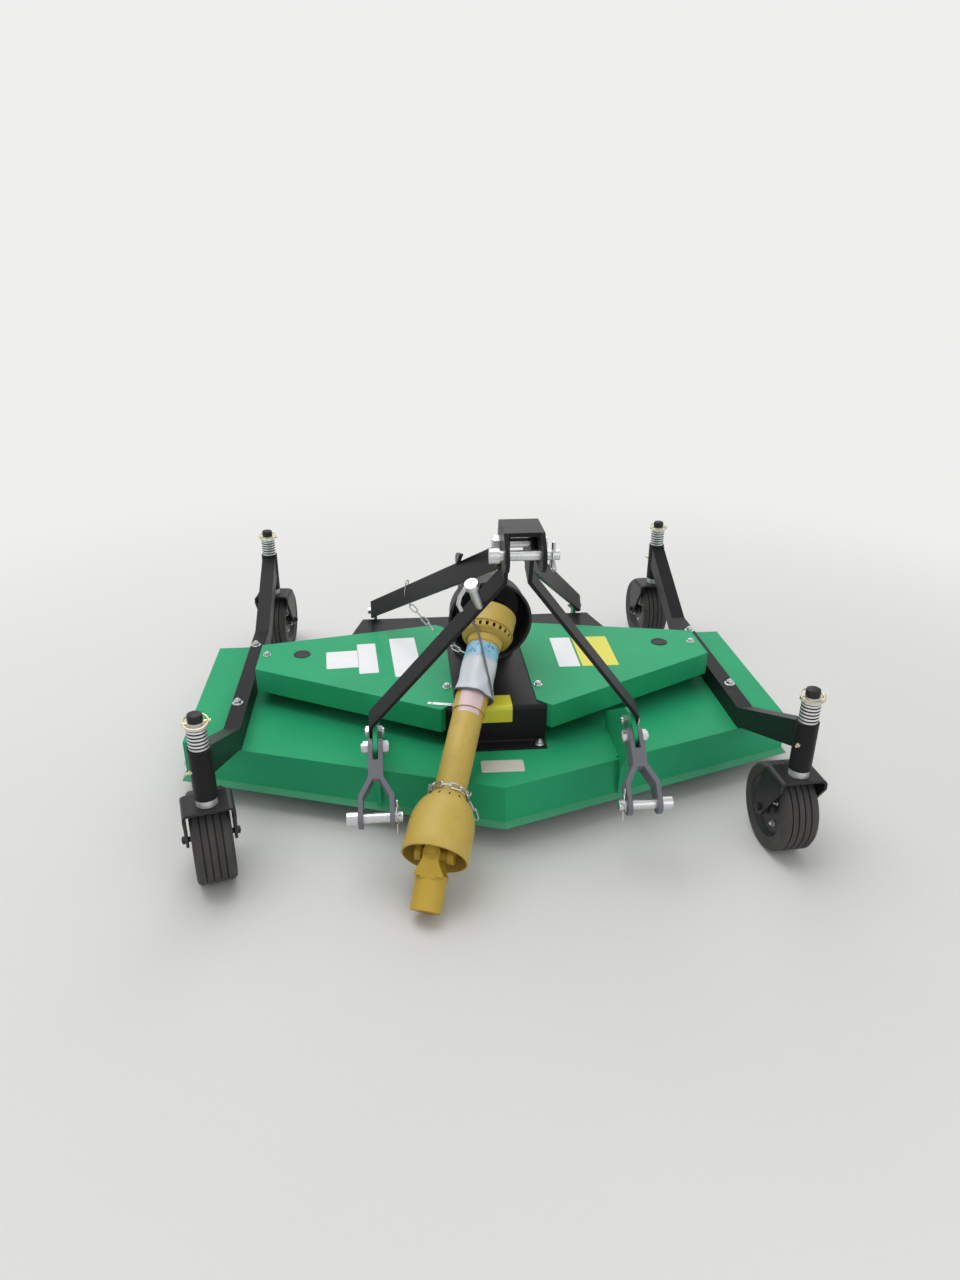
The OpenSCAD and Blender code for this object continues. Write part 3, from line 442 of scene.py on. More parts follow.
def fork_finish(name, black, zinc):
    """Black fork with a plated collar and stem above its plate."""
    f = enamel(name, black, edge_wear_and_highlight=0.6)
    z = f.axis("Z")
    plated_part = z.above(FORK_TOP / 1000, 0.0004)
    cloud = f.noise(60, 4, 0.6)
    old = f.colour()
    base = f.mix(plated_part, old, shade(zinc, 0.92))
    f.set(Base_Color=base, Metallic=plated_part * 0.6, Roughness=0.34 + cloud * 0.14)
    return f


def film(name):
    """Loose wrapping film round the outer guard tube: pale blue near the bell, clear white further down."""
    f = vinyl(name, (0.70, 0.75, 0.80))
    along = f.axis("Y") * SHAFT_DIR.y + f.axis("Z") * SHAFT_DIR.z + f.axis("X") * SHAFT_DIR.x
    start = (UPPER - Vector((0, ORIGIN_Y, 0))).dot(SHAFT_DIR) / 1000
    ripple = f.noise(40, 4, 0.6) * 0.02
    blue = (along + ripple).below(start + 0.145, 0.012)
    patch = f.noise(70, 3, 0.6).above(0.58, 0.03)
    base = f.mix(blue, (0.62, 0.66, 0.70), (0.26, 0.55, 0.72))
    base = f.mix(blue * patch * 0.8, base, (0.05, 0.22, 0.42))
    f.set(Base_Color=base, Roughness=0.22, Specular_IOR_Level=0.6)
    f.bump(f.noise(60, 3, 0.6, (1, 1, 0.4)), 0.002)
    return f


def gearbox_finish(name, colour):
    """Cast housing whose input yoke, in front of the flange, is bare steel."""
    f = casting(name, colour)
    y = f.axis("Y")
    front = y.below((GEAR_Y - GEAR_FLANGE - 1 - ORIGIN_Y) / 1000, 0.0004)
    old = f.colour()
    f.set(Base_Color=f.mix(front, old, (0.20, 0.20, 0.205)), Metallic=front * 0.85 + 0.1)
    return f


MATERIALS = {}


def make_materials(s):
    m = MATERIALS
    m["green"] = deck_enamel("green enamel", tuple(s.green)).done()
    m["black"] = enamel("black enamel", tuple(s.black), edge_wear_and_highlight=0.5, rough=0.4, gloss=0.15).done()
    m["grey"] = enamel("grey enamel", tuple(s.grey), edge_wear_and_highlight=0.7, rough=0.42).done()
    m["yellow paint"] = enamel("yellow enamel", (0.52, 0.345, 0.035), edge_wear_and_highlight=0.5, rough=0.42).done()
    m["zinc"] = plated("bright zinc", tuple(s.zinc)).done()
    m["gold"] = plated("yellow zinc", tuple(s.gold), 0.26).done()
    m["gearbox"] = gearbox_finish("gearbox casting", (0.075, 0.078, 0.082)).done()
    m["shield"] = moulded("black shield", (0.026, 0.026, 0.027), 0.5).done()
    m["wheel"] = moulded("black wheel", (0.018, 0.018, 0.019), 0.4).done()
    m["cap"] = moulded("black cap", (0.014, 0.014, 0.015), 0.5).done()
    m["guard"] = guard_plastic("guard plastic", tuple(s.guard)).done()
    m["tyre"] = tyre_rubber("tyre rubber", tuple(s.rubber)).done()
    m["belt"] = moulded("belt rubber", (0.022, 0.022, 0.022), 0.62).done()
    m["steel"] = bare_steel("turned steel", (0.33, 0.33, 0.34)).done()
    m["blade"] = bare_steel("blade steel", (0.24, 0.24, 0.25), 0.42).done()
    m["rings"] = ring_stack("spacer rings", tuple(s.zinc)).done()
    m["fork"] = fork_finish("fork enamel", tuple(s.black), tuple(s.zinc)).done()
    m["sign yellow"] = vinyl("blank yellow sign", tuple(s.sign)).done()
    m["sign white"] = vinyl("blank white sign", (0.78, 0.79, 0.80)).done()
    m["film"] = film("wrapping film").done()
    m["sign pink"] = vinyl("blank pink label", (0.72, 0.55, 0.56)).done()
    m["plate"] = vinyl("blank plate", (0.60, 0.59, 0.53)).done()


NODE_FINISH = {
    "deck": "green", "cover": "green", "drive_base": "black", "gearbox": "gearbox",
    "drive_shield": "shield", "belt": "belt", "leg": "black", "strut": "black", "mast_bolts": "zinc",
    "top_bracket": "black", "top_pin": "zinc", "clevis": "grey", "link_pin": "zinc", "arm": "black",
    "fork": "fork", "spacers": "rings", "rim": "wheel", "tyre": "tyre", "rotor": "blade",
    "cross": "yellow paint", "shaft": "steel", "guard": "guard", "bell": "guard", "cone": "guard",
    "yoke": "yellow paint", "end_yoke": "yellow paint",
}


def finish_for(node):
    for key in sorted(NODE_FINISH, key=len, reverse=True):
        if node.startswith(key):
            return MATERIALS[NODE_FINISH[key]]
    raise RuntimeError("no finish for node " + node)


# Mesh building, in millimetres in the source's frame

def turned(axis_to, origin, side=(1, 0, 0)):
    """Matrix whose Z runs along axis_to from origin, with its X as near side as it can be."""
    z = Vector(axis_to).normalized()
    x = Vector(side)
    if abs(x.normalized().dot(z)) > 0.95:
        x = Vector((0, 1, 0))
    y = z.cross(x).normalized()
    x = y.cross(z)
    m = Matrix((x, y, z)).transposed().to_4x4()
    m.translation = Vector(origin)
    return m


def standing(x, y, z, turn):
    """Matrix of a place whose Z stays upright, turned by degrees round it."""
    return Matrix.Translation((x, y, z)) @ Matrix.Rotation(math.radians(turn), 4, "Z")


def polar(radius, angle, height=0.0):
    """Point at a radius and an angle in radians round the local Z."""
    return Vector((radius * math.cos(angle), radius * math.sin(angle), height))


def circle(radius, height, count):
    """Points of a level circle round the local Z."""
    return [polar(radius, math.tau * k / count, height) for k in range(count)]


def clip_ring(centre, wide, tall, twist):
    """Points of a slightly twisted upright ring that hangs on a pin."""
    points = []
    for k in range(36):
        a = math.tau * k / 36
        points.append(centre + Vector((twist * math.sin(2 * a), wide * math.cos(a), tall * math.sin(a))))
    return points


def lathe(bm, profile, at, sides):
    """Skin of (radius, height) points turned round the local Z."""
    loops = []
    for r, h in profile:
        count = sides if r > 1e-6 else 1
        loops.append([bm.verts.new(at @ polar(r, math.tau * k / count, h)) for k in range(count)])
    for low, high in zip(loops, loops[1:]):
        for k in range(sides):
            j = (k + 1) % sides
            corners = [low[k % len(low)], low[j % len(low)], high[j % len(high)], high[k % len(high)]]
            corners = list(dict.fromkeys(corners))
            if len(corners) > 2:
                bm.faces.new(corners)


def prism(bm, outline, low, high, at):
    """Stands an outline up between two heights."""
    bottom = [bm.verts.new(at @ Vector((x, y, low))) for x, y in outline]
    top = [bm.verts.new(at @ Vector((x, y, high))) for x, y in outline]
    bm.faces.new(bottom[::-1])
    bm.faces.new(top)
    for k in range(len(outline)):
        j = (k + 1) % len(outline)
        bm.faces.new((bottom[k], bottom[j], top[j], top[k]))


def sweep(bm, points, radius, sides=10, closed=False, uneven=0.0, seed=1):
    """Tube along points, with an uneven skin where it is a weld."""
    points = [Vector(p) for p in points]
    count = len(points)
    rng = random.Random(seed)
    side = None
    loops = []
    for k, p in enumerate(points):
        before = points[k - 1] if closed or k else p
        after = points[(k + 1) % count] if closed or k < count - 1 else p
        along = (after - before).normalized()
        if side is None:
            side = along.orthogonal().normalized()
        side = (side - along * side.dot(along)).normalized()
        up = along.cross(side)
        r = radius * (1 + uneven * rng.uniform(-1, 1))
        loop = []
        for i in range(sides):
            a = math.tau * i / sides
            loop.append(bm.verts.new(p + r * (side * math.cos(a) + up * math.sin(a))))
        loops.append(loop)
    pairs = list(zip(loops, loops[1:]))
    if closed:
        first = loops[0]
        last = loops[-1]
        shift = min(range(sides), key=lambda q: (first[q].co - last[0].co).length)
        pairs.append((last, first[shift:] + first[:shift]))
    for low, high in pairs:
        for i in range(sides):
            j = (i + 1) % sides
            bm.faces.new((low[i], low[j], high[j], high[i]))
    if not closed:
        bm.faces.new(loops[0][::-1])
        bm.faces.new(loops[-1])


def bolt(bm, at, across, height, washer, stud):
    """Washer, nut with chamfered corners, and the thread's end standing out of it."""
    r = washer / 2
    lathe(bm, [(0, 0), (r, 0), (r, 1.4), (r - 0.6, 2), (0, 2)], at, 28)
    r = across / 2
    nut = [(0, 0), (r, 0), (r, height * 0.82), (r * 0.9, height), (r * 0.55, height), (0, height)]
    lathe(bm, nut, at @ Matrix.Translation((0, 0, 2)), 6)
    r = across * 0.27
    thread = [(0, height + 1)]
    turns = max(2, int(stud / 1.5))
    for k in range(turns):
        z = height + 2 + k * stud / turns
        thread += [(r, z), (r - 0.6, z + 0.5 * stud / turns)]
    top = height + 2 + stud
    thread += [(r - 1, top), (0, top)]
    lathe(bm, thread, at, 16)


def rounded_outline(width, depth, radius, steps=5):
    points = []
    for cx, cy, start in ((1, 1, 0), (-1, 1, 90), (-1, -1, 180), (1, -1, 270)):
        for k in range(steps + 1):
            a = math.radians(start + 90 * k / steps)
            points.append((cx * (width / 2 - radius) + radius * math.cos(a),
                           cy * (depth / 2 - radius) + radius * math.sin(a)))
    return points


def chain(bm, points, wire, pitch, seed=3):
    """Links along a smooth run of points, every other one turned by a quarter."""
    run = [Vector(p) for p in points]
    fine = []
    for k in range(len(run) - 1):
        p0 = run[max(k - 1, 0)]
        p1, p2 = run[k], run[k + 1]
        p3 = run[min(k + 2, len(run) - 1)]
        for i in range(12):
            t = i / 12
            fine.append(0.5 * (2 * p1 + (p2 - p0) * t + (2 * p0 - 5 * p1 + 4 * p2 - p3) * t * t
                               + (3 * p1 - p0 - 3 * p2 + p3) * t ** 3))
    fine.append(run[-1])
    spots = [fine[0]]
    left = pitch
    for a, b in zip(fine, fine[1:]):
        length = (b - a).length
        while length >= left:
            a = a + (b - a) * (left / length)
            length -= left
            left = pitch
            spots.append(a.copy())
        left -= length
    rng = random.Random(seed)
    for k, (a, b) in enumerate(zip(spots, spots[1:])):
        along = (b - a).normalized()
        m = turned(along, (a + b) / 2, (0, 0, 1))
        m = m @ Matrix.Rotation(math.radians(90 * (k % 2) + 45 + rng.uniform(-14, 14)), 4, "Z")
        half = pitch / 2 + wire * 0.5
        wide = wire * 1.6
        loop = []
        for i in range(8):
            t = math.pi * i / 7
            loop.append(m @ Vector((wide * math.cos(t), 0, half - wide + wide * math.sin(t))))
        for i in range(8):
            t = math.pi + math.pi * i / 7
            loop.append(m @ Vector((wide * math.cos(t), 0, wide - half + wide * math.sin(t))))
        sweep(bm, loop, wire / 2, 6, closed=True)


def made(bm, name, finish, angle):
    """Brings a mesh into the frame and gives it its finish. Edges sharper than angle stay sharp."""
    bmesh.ops.recalc_face_normals(bm, faces=bm.faces)
    bm.transform(MM)
    mesh = bpy.data.meshes.new(name)
    bm.to_mesh(mesh)
    bm.free()
    mesh.polygons.foreach_set("use_smooth", [True] * len(mesh.polygons))
    mesh.set_sharp_from_angle(angle=math.radians(angle))
    obj = bpy.data.objects.new(name, mesh)
    bpy.context.scene.collection.objects.link(obj)
    obj.data.materials.append(MATERIALS[finish])
    return obj


def piece(bm, name, finish, body, bevel=0.0, angle=32):
    """Makes a piece that rides on a body, with its edges rounded where bevel is a width in metres."""
    obj = made(bm, name, finish, angle)
    if bevel:
        mod = obj.modifiers.new("edges", "BEVEL")
        mod.width = bevel
        mod.segments = 2
        mod.limit_method = "ANGLE"
        mod.angle_limit = math.radians(30)
    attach(obj, body)
    return obj


# Directions of the drive shaft, and the casters' places

def level_turn(angle):
    a = math.radians(angle)
    return Vector((-math.sin(a), -math.cos(a), 0))


def down_along(level, drop):
    d = math.radians(drop)
    return level * math.cos(d) + Vector((0, 0, -math.sin(d)))


SHAFT_LEVEL = level_turn(SHAFT_SWING)
SHAFT_DIR = down_along(SHAFT_LEVEL, SHAFT_DROP)
END_DIR = down_along(SHAFT_LEVEL, END_DROP)
UPPER = Vector(JOINT)
LOWER = UPPER + SHAFT_DIR * SHAFT_LEN
SHAFT_SIDE = Vector((math.cos(math.radians(SHAFT_SWING)), -math.sin(math.radians(SHAFT_SWING)), 0))
END_LOWER = turned(END_DIR, LOWER, END_DIR.cross(SHAFT_SIDE))


def caster_matrix(name):
    side, end, turn = CASTERS[name]
    return standing(side * CASTER_X, end * CASTER_BASE, 0, turn)


class MOWER_OT_stage(bpy.types.Operator):
    """Camera, floor, world and lights"""
    bl_idname = "mower.stage"
    bl_label = "Stage"

    def execute(self, context):
        s = context.scene.mower_stage
        scene = context.scene
        camera = bpy.data.objects.new("camera", bpy.data.cameras.new("camera"))
        scene.collection.objects.link(camera)
        camera.location = s.place
        camera.rotation_euler = Euler(s.turn)
        camera.data.sensor_fit = "HORIZONTAL"
        camera.data.sensor_width = 36
        camera.data.lens = s.lens
        camera.data.clip_end = 60
        scene.camera = camera
        scene.view_settings.view_transform = "Standard"

        f = Finish("floor")
        grain = f.noise(60, 5, 0.6)
        cloud = f.noise(1.5, 3, 0.5)
        tone = f.mix(grain * 0.5 + cloud * 0.5, shade(s.floor, 0.97), shade(s.floor, 1.03))
        f.set(Base_Color=tone, Roughness=0.8, Specular_IOR_Level=0.2)
        f.bump(grain, 0.0003)
        f.done()
        x = f.axis("X")
        y = f.axis("Y")
        far = (x * x + y * y).math("SQRT", x * x + y * y).above(2.0, 1.0)
        camera_ray = f.add("ShaderNodeLightPath", out="Is Camera Ray")
        pale = f.add("ShaderNodeEmission", {}, {"Color": tuple(s.back)})
        lit = Wire(f, f.shader.outputs[0])
        mixed = f.add("ShaderNodeMixShader", {}, {0: far * camera_ray, 1: lit, 2: pale})
        f.plug(f.tree.nodes["Material Output"].inputs["Surface"], mixed)
        mesh = bpy.data.meshes.new("floor")
        half = 20.0
        corners = [(-half, -half, 0), (half, -half, 0), (half, half, 0), (-half, half, 0)]
        mesh.from_pydata(corners, [], [(0, 1, 2, 3)])
        floor = bpy.data.objects.new("floor", mesh)
        scene.collection.objects.link(floor)
        floor.data.materials.append(f.material)

        world = bpy.data.worlds.new("studio")
        scene.world = world
        world.use_nodes = True
        tree = world.node_tree
        back = tree.nodes["Background"]
        back.inputs["Color"].default_value = (1.0, 1.0, 1.0, 1)
        back.inputs["Strength"].default_value = s.sky
        seen = tree.nodes.new("ShaderNodeBackground")
        seen.inputs["Color"].default_value = (*s.back, 1)
        path = tree.nodes.new("ShaderNodeLightPath")
        pick = tree.nodes.new("ShaderNodeMixShader")
        tree.links.new(path.outputs["Is Camera Ray"], pick.inputs[0])
        tree.links.new(back.outputs[0], pick.inputs[1])
        tree.links.new(seen.outputs[0], pick.inputs[2])
        tree.links.new(pick.outputs[0], tree.nodes["World Output"].inputs["Surface"])

        # Name, place, size in metres, share of the key light's power
        lamps = (("key", (-1.2, 0.6, 4.4), 3.6, 1.0), ("fill", (1.6, -3.4, 2.2), 3.0, 0.22),
                 ("back", (0.6, 3.6, 3.2), 3.0, 0.35))
        for name, place, size, share in lamps:
            data = bpy.data.lights.new(name, "AREA")
            data.size = size
            data.energy = s.key * share
            lamp = bpy.data.objects.new(name, data)
            lamp.location = place
            aim = Vector((0, 0, 0.2)) - Vector(place)
            lamp.rotation_euler = aim.to_track_quat("-Z", "Y").to_euler()
            scene.collection.objects.link(lamp)
        return {"FINISHED"}


class MOWER_OT_finishes(bpy.types.Operator):
    """Materials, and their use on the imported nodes"""
    bl_idname = "mower.finishes"
    bl_label = "Finishes"

    def execute(self, context):
        make_materials(context.scene.mower_finish)
        for name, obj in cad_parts.items():
            obj.data.materials.clear()
            obj.data.materials.append(finish_for(name))
        return {"FINISHED"}


class MOWER_OT_deck_trim(bpy.types.Operator):
    """Bolts of the arms, the base's foot and the lip, the blank plate, and the welds of brackets and tubes"""
    bl_idname = "mower.deck_trim"
    bl_label = "Deck trim"

    def execute(self, context):
        s = context.scene.mower_fastener
        bm = bmesh.new()
        for side in (-1, 1):
            for y in ARM_BOLTS[1]:
                at = Matrix.Translation((side * ARM_BOLTS[0], y, ARM_TOP))
                bolt(bm, at, s.across, s.height, s.washer + 4, 4)
        for side in (-1, 1):
            x, y, z = FOOT_BOLTS
            bolt(bm, Matrix.Translation((side * x, y, z)), s.across - 2, s.height - 1, s.washer, 5)
        for side in (-1, 1):
            x, y, z = LIP_BOLT
            at = turned((side, 0, 0), (side * x, y, z), (0, 1, 0))
            bolt(bm, at, s.across - 3, s.height - 1, s.washer - 2, 3)
        piece(bm, "deck_bolts", "zinc", "frame")

        bm = bmesh.new()
        at = standing(*PLATE, DECK_Z + 0.1, PLATE_TURN)
        prism(bm, rounded_outline(101, 50, 4), 0, 1.2, at)
        piece(bm, "blank_plate", "plate", "frame", 0.0003)
        bm = bmesh.new()
        for x in (-45, 45):
            for y in (-20, 20):
                head = at @ Matrix.Translation((x, y, 1.1))
                lathe(bm, [(0, 0), (3, 0), (2.6, 1.2), (1.4, 1.9), (0, 2.1)], head, 12)
        piece(bm, "plate_rivets", "zinc", "frame")

        bm = bmesh.new()
        for side in (-1, 1):
            for face in (-1, 1):
                x = side * HITCH_X + face * HITCH_PLATE / 2
                line = [(x, y, DECK_Z + 1.5) for y in BRACKET_WELD]
                sweep(bm, line, 3.6, 6, uneven=0.22, seed=face + 3)
            x = side * STRUT_WELDS[0]
            for y in STRUT_WELDS[1]:
                sweep(bm, [(x, y, z) for z in range(160, 250, 6)], 2.6, 6, uneven=0.2, seed=y)
        piece(bm, "bracket_welds", "green", "frame")

        # Welds up, over and down the caster tubes: millimetres across and down from the top
        bm = bmesh.new()
        run = ((-20, 60), (-20, 40), (-20, 20), (-20, 1), (-8, 0),
               (8, 0), (20, 1), (20, 20), (20, 40), (20, 60))
        for side in (-1, 1):
            for y, way in ((0, 1), (CASTER_BASE, -1)):
                x = side * CASTER_X
                edge = [(x + across, y + way * 14, TUBE_TOP - 4 - down) for across, down in run]
                sweep(bm, edge, 3, 6, uneven=0.2, seed=7)
        piece(bm, "arm_welds", "black", "frame")
        return {"FINISHED"}


class MOWER_OT_cover_trim(bpy.types.Operator):
    """Plugs, bolts, blank signs and the latch strip of the belt covers, and the base's blank sign"""
    bl_idname = "mower.cover_trim"
    bl_label = "Cover trim"

    def execute(self, context):
        s = context.scene.mower_fastener
        bm = bmesh.new()
        for x, y in COVER_BOLTS:
            at = Matrix.Translation((x, y, COVER_Z))
            bolt(bm, at, s.across - 3, s.height - 1, s.washer - 2, 2)
        piece(bm, "cover_bolts", "zinc", "frame")

        bm = bmesh.new()
        plug = [(0, -2), (17, -2), (18.6, -1), (18.6, 0.2), (22.5, 0.2), (22.5, 1.4), (21, 2.4), (17, 2.6),
                (15, 1.2), (0, 0.6)]
        for side in (-1, 1):
            lathe(bm, plug, Matrix.Translation((side * PLUGS[0], PLUGS[1], COVER_Z)), 40)
        piece(bm, "cover_plugs", "cap", "frame")

        # Name, finish, place, size and turn in degrees of each blank sign
        signs = (("sign_left_a", "sign white", (-380, 568), (84, 102), 4),
                 ("sign_left_b", "sign white", (-314, 572), (50, 180), 4),
                 ("sign_left_c", "sign white", (-214, 575), (70, 235), 4),
                 ("sign_right_a", "sign white", (216, 569), (56, 181), -1),
                 ("sign_right_b", "sign yellow", (298, 569), (97, 182), -1))
        for name, finish, (x, y), (w, d), turn in signs:
            bm = bmesh.new()
            prism(bm, rounded_outline(w, d, 3), 0, 0.5, standing(x, y, COVER_Z, turn))
            piece(bm, name, finish, "frame")

        # Bright latch strip on the left cover
        bm = bmesh.new()
        at = standing(*LATCH, COVER_Z, LATCH_TURN)
        prism(bm, rounded_outline(66, 11, 4), 0, 1.6, at)
        piece(bm, "latch_strip", "zinc", "frame", 0.0003)
        bm = bmesh.new()
        for x in (-24, 24):
            head = at @ Matrix.Translation((x, 0, 1.5))
            lathe(bm, [(0, 0), (3.6, 0), (3.4, 1.2), (2, 2.1), (0, 2.3)], head, 14)
        piece(bm, "latch_rivets", "zinc", "frame")

        # The base's sign starts on its top and wraps round the bend
        bm = bmesh.new()
        skin = []
        for lift in (0.05, 0.65):
            line = [(340, BASE_TOP + lift), (318, BASE_TOP + lift)]
            for k in range(9):
                a = math.radians(90 + 90 * k / 8)
                line.append((BASE_FRONT + BASE_BEND + (BASE_BEND + lift) * math.cos(a),
                             BASE_TOP - BASE_BEND + (BASE_BEND + lift) * math.sin(a)))
            line.append((BASE_FRONT - lift, 215))
            skin.append(line)
        for a, b in zip(zip(*skin), list(zip(*skin))[1:]):
            corners = [bm.verts.new((x, y, z)) for x in (-66, 38) for y, z in (a[0], a[1], b[1], b[0])]
            for quad in ((0, 1, 2, 3), (7, 6, 5, 4), (0, 4, 5, 1), (1, 5, 6, 2), (2, 6, 7, 3), (3, 7, 4, 0)):
                bm.faces.new([corners[i] for i in quad])
        piece(bm, "sign_base", "sign yellow", "frame")
        return {"FINISHED"}


class MOWER_OT_caster_trim(bpy.types.Operator):
    """Caps, clips, grease nipples and wheel bolts of the four casters"""
    bl_idname = "mower.caster_trim"
    bl_label = "Caster trim"

    def execute(self, context):
        for name, (side, end, _) in CASTERS.items():
            at = caster_matrix(name)
            bm = bmesh.new()
            top = at @ Matrix.Translation((0, 0, STEM_TOP))
            lathe(bm, [(14.2, -14), (15.4, -14), (15.6, -2), (14.6, 2.4), (11, 4.2), (0, 4.8)], top, 28)
            piece(bm, "cap_" + name, "cap", "caster_" + name)

            bm = bmesh.new()
            hoop = [top @ Vector((p.x, p.y - 1, 0.2 * p.y - 14)) for p in circle(25, 0, 40)]
            sweep(bm, hoop, 1.9, 8, closed=True)
            sweep(bm, [top @ Vector((x, 0, -17)) for x in (-27, -14, 0, 14, 30)], 3.6, 12)
            piece(bm, "clip_" + name, "gold", "caster_" + name)

            bm = bmesh.new()
            tube = (side * CASTER_X, end * CASTER_BASE, NIPPLE_Z)
            outwards = turned((-0.8, -0.6 if end == 0 else 0.6, 0), tube)
            nipple = [(0, 22), (5, 22), (5, 28), (3, 29), (2.4, 32), (3.2, 33), (2.8, 35), (0, 35.6)]
            lathe(bm, nipple, outwards, 12)
            piece(bm, "nipple_" + name, "gold", "frame")

            hub = at @ Matrix.Translation((0, TRAIL, WHEEL_R)) @ Matrix.Rotation(math.radians(90), 4, "Y")
            bm = bmesh.new()
            for flip in (0, 180):
                face = hub @ Matrix.Rotation(math.radians(flip), 4, "X")
                for k in range(4):
                    place = Matrix.Translation(polar(40, math.radians(45 + 90 * k), AXLE_HALF))
                    bolt(bm, face @ place, across=12, height=5, washer=15, stud=3)
            piece(bm, "rim_bolts_" + name, "zinc", "wheel_" + name)
        return {"FINISHED"}


class MOWER_OT_hitch_trim(bpy.types.Operator):
    """Clips of the hitch pins, the spare pin in the left leg and the tab on the left strut"""
    bl_idname = "mower.hitch_trim"
    bl_label = "Hitch trim"

    def execute(self, context):
        drop = math.radians(CLEVIS_DROP)
        pin_y = HITCH[0] - CLEVIS_LEN * math.cos(drop)
        pin_z = HITCH[1] - CLEVIS_LEN * math.sin(drop)
        for side, word in ((-1, "left"), (1, "right")):
            hole = Vector((side * (HITCH_X - LINK_CLIP_OUT), pin_y, pin_z))
            bm = bmesh.new()
            sweep(bm, clip_ring(hole + Vector((0, 0, 6)), 17, 20, 2.5), 1.6, 8, closed=True)
            sweep(bm, [hole + Vector((0, 0, z)) for z in (-42, -40, 38, 41)], 2.2, 10)
            piece(bm, "link_clip_" + word, "zinc", "hitch_" + word)

        # Ring of the top pin's clip
        bm = bmesh.new()
        sweep(bm, clip_ring(Vector(TOP_CLIP), 16, 21, 3), 1.6, 8, closed=True)
        piece(bm, "top_clip", "zinc", "hitch_top")

        # Spare pin with its handle, stored in the left leg
        bm = bmesh.new()
        high, low = Vector(SPARE_PIN[0]), Vector(SPARE_PIN[1])
        length = (low - high).length
        profile = [(0, 0), (13, 0), (14.5, 1.5), (14.5, 11), (13, 12.5), (9.6, 13), (9.6, length - 10),
                   (8, length - 2), (6, length), (0, length)]
        lathe(bm, profile, turned(low - high, high), 28)
        sweep(bm, [high + (low - high) * 0.12, *SPARE_HANDLE], 4.4, 10)
        piece(bm, "spare_pin", "zinc", "frame")

        # Tab welded on the left strut
        bm = bmesh.new()
        a, b = Vector(STRUT_LOW), Vector(STRUT_TOP)
        a.x, b.x = -a.x, -b.x
        along = (b - a).normalized()
        at = turned((-1, 0, 0), a + along * TAB_ALONG, along)
        prism(bm, [(-11, 18), (140, 18), (30, 40), (-8, 41), (-11, 38)], -4, 4, at)
        piece(bm, "strut_tab", "black", "frame", 0.0008)
        return {"FINISHED"}


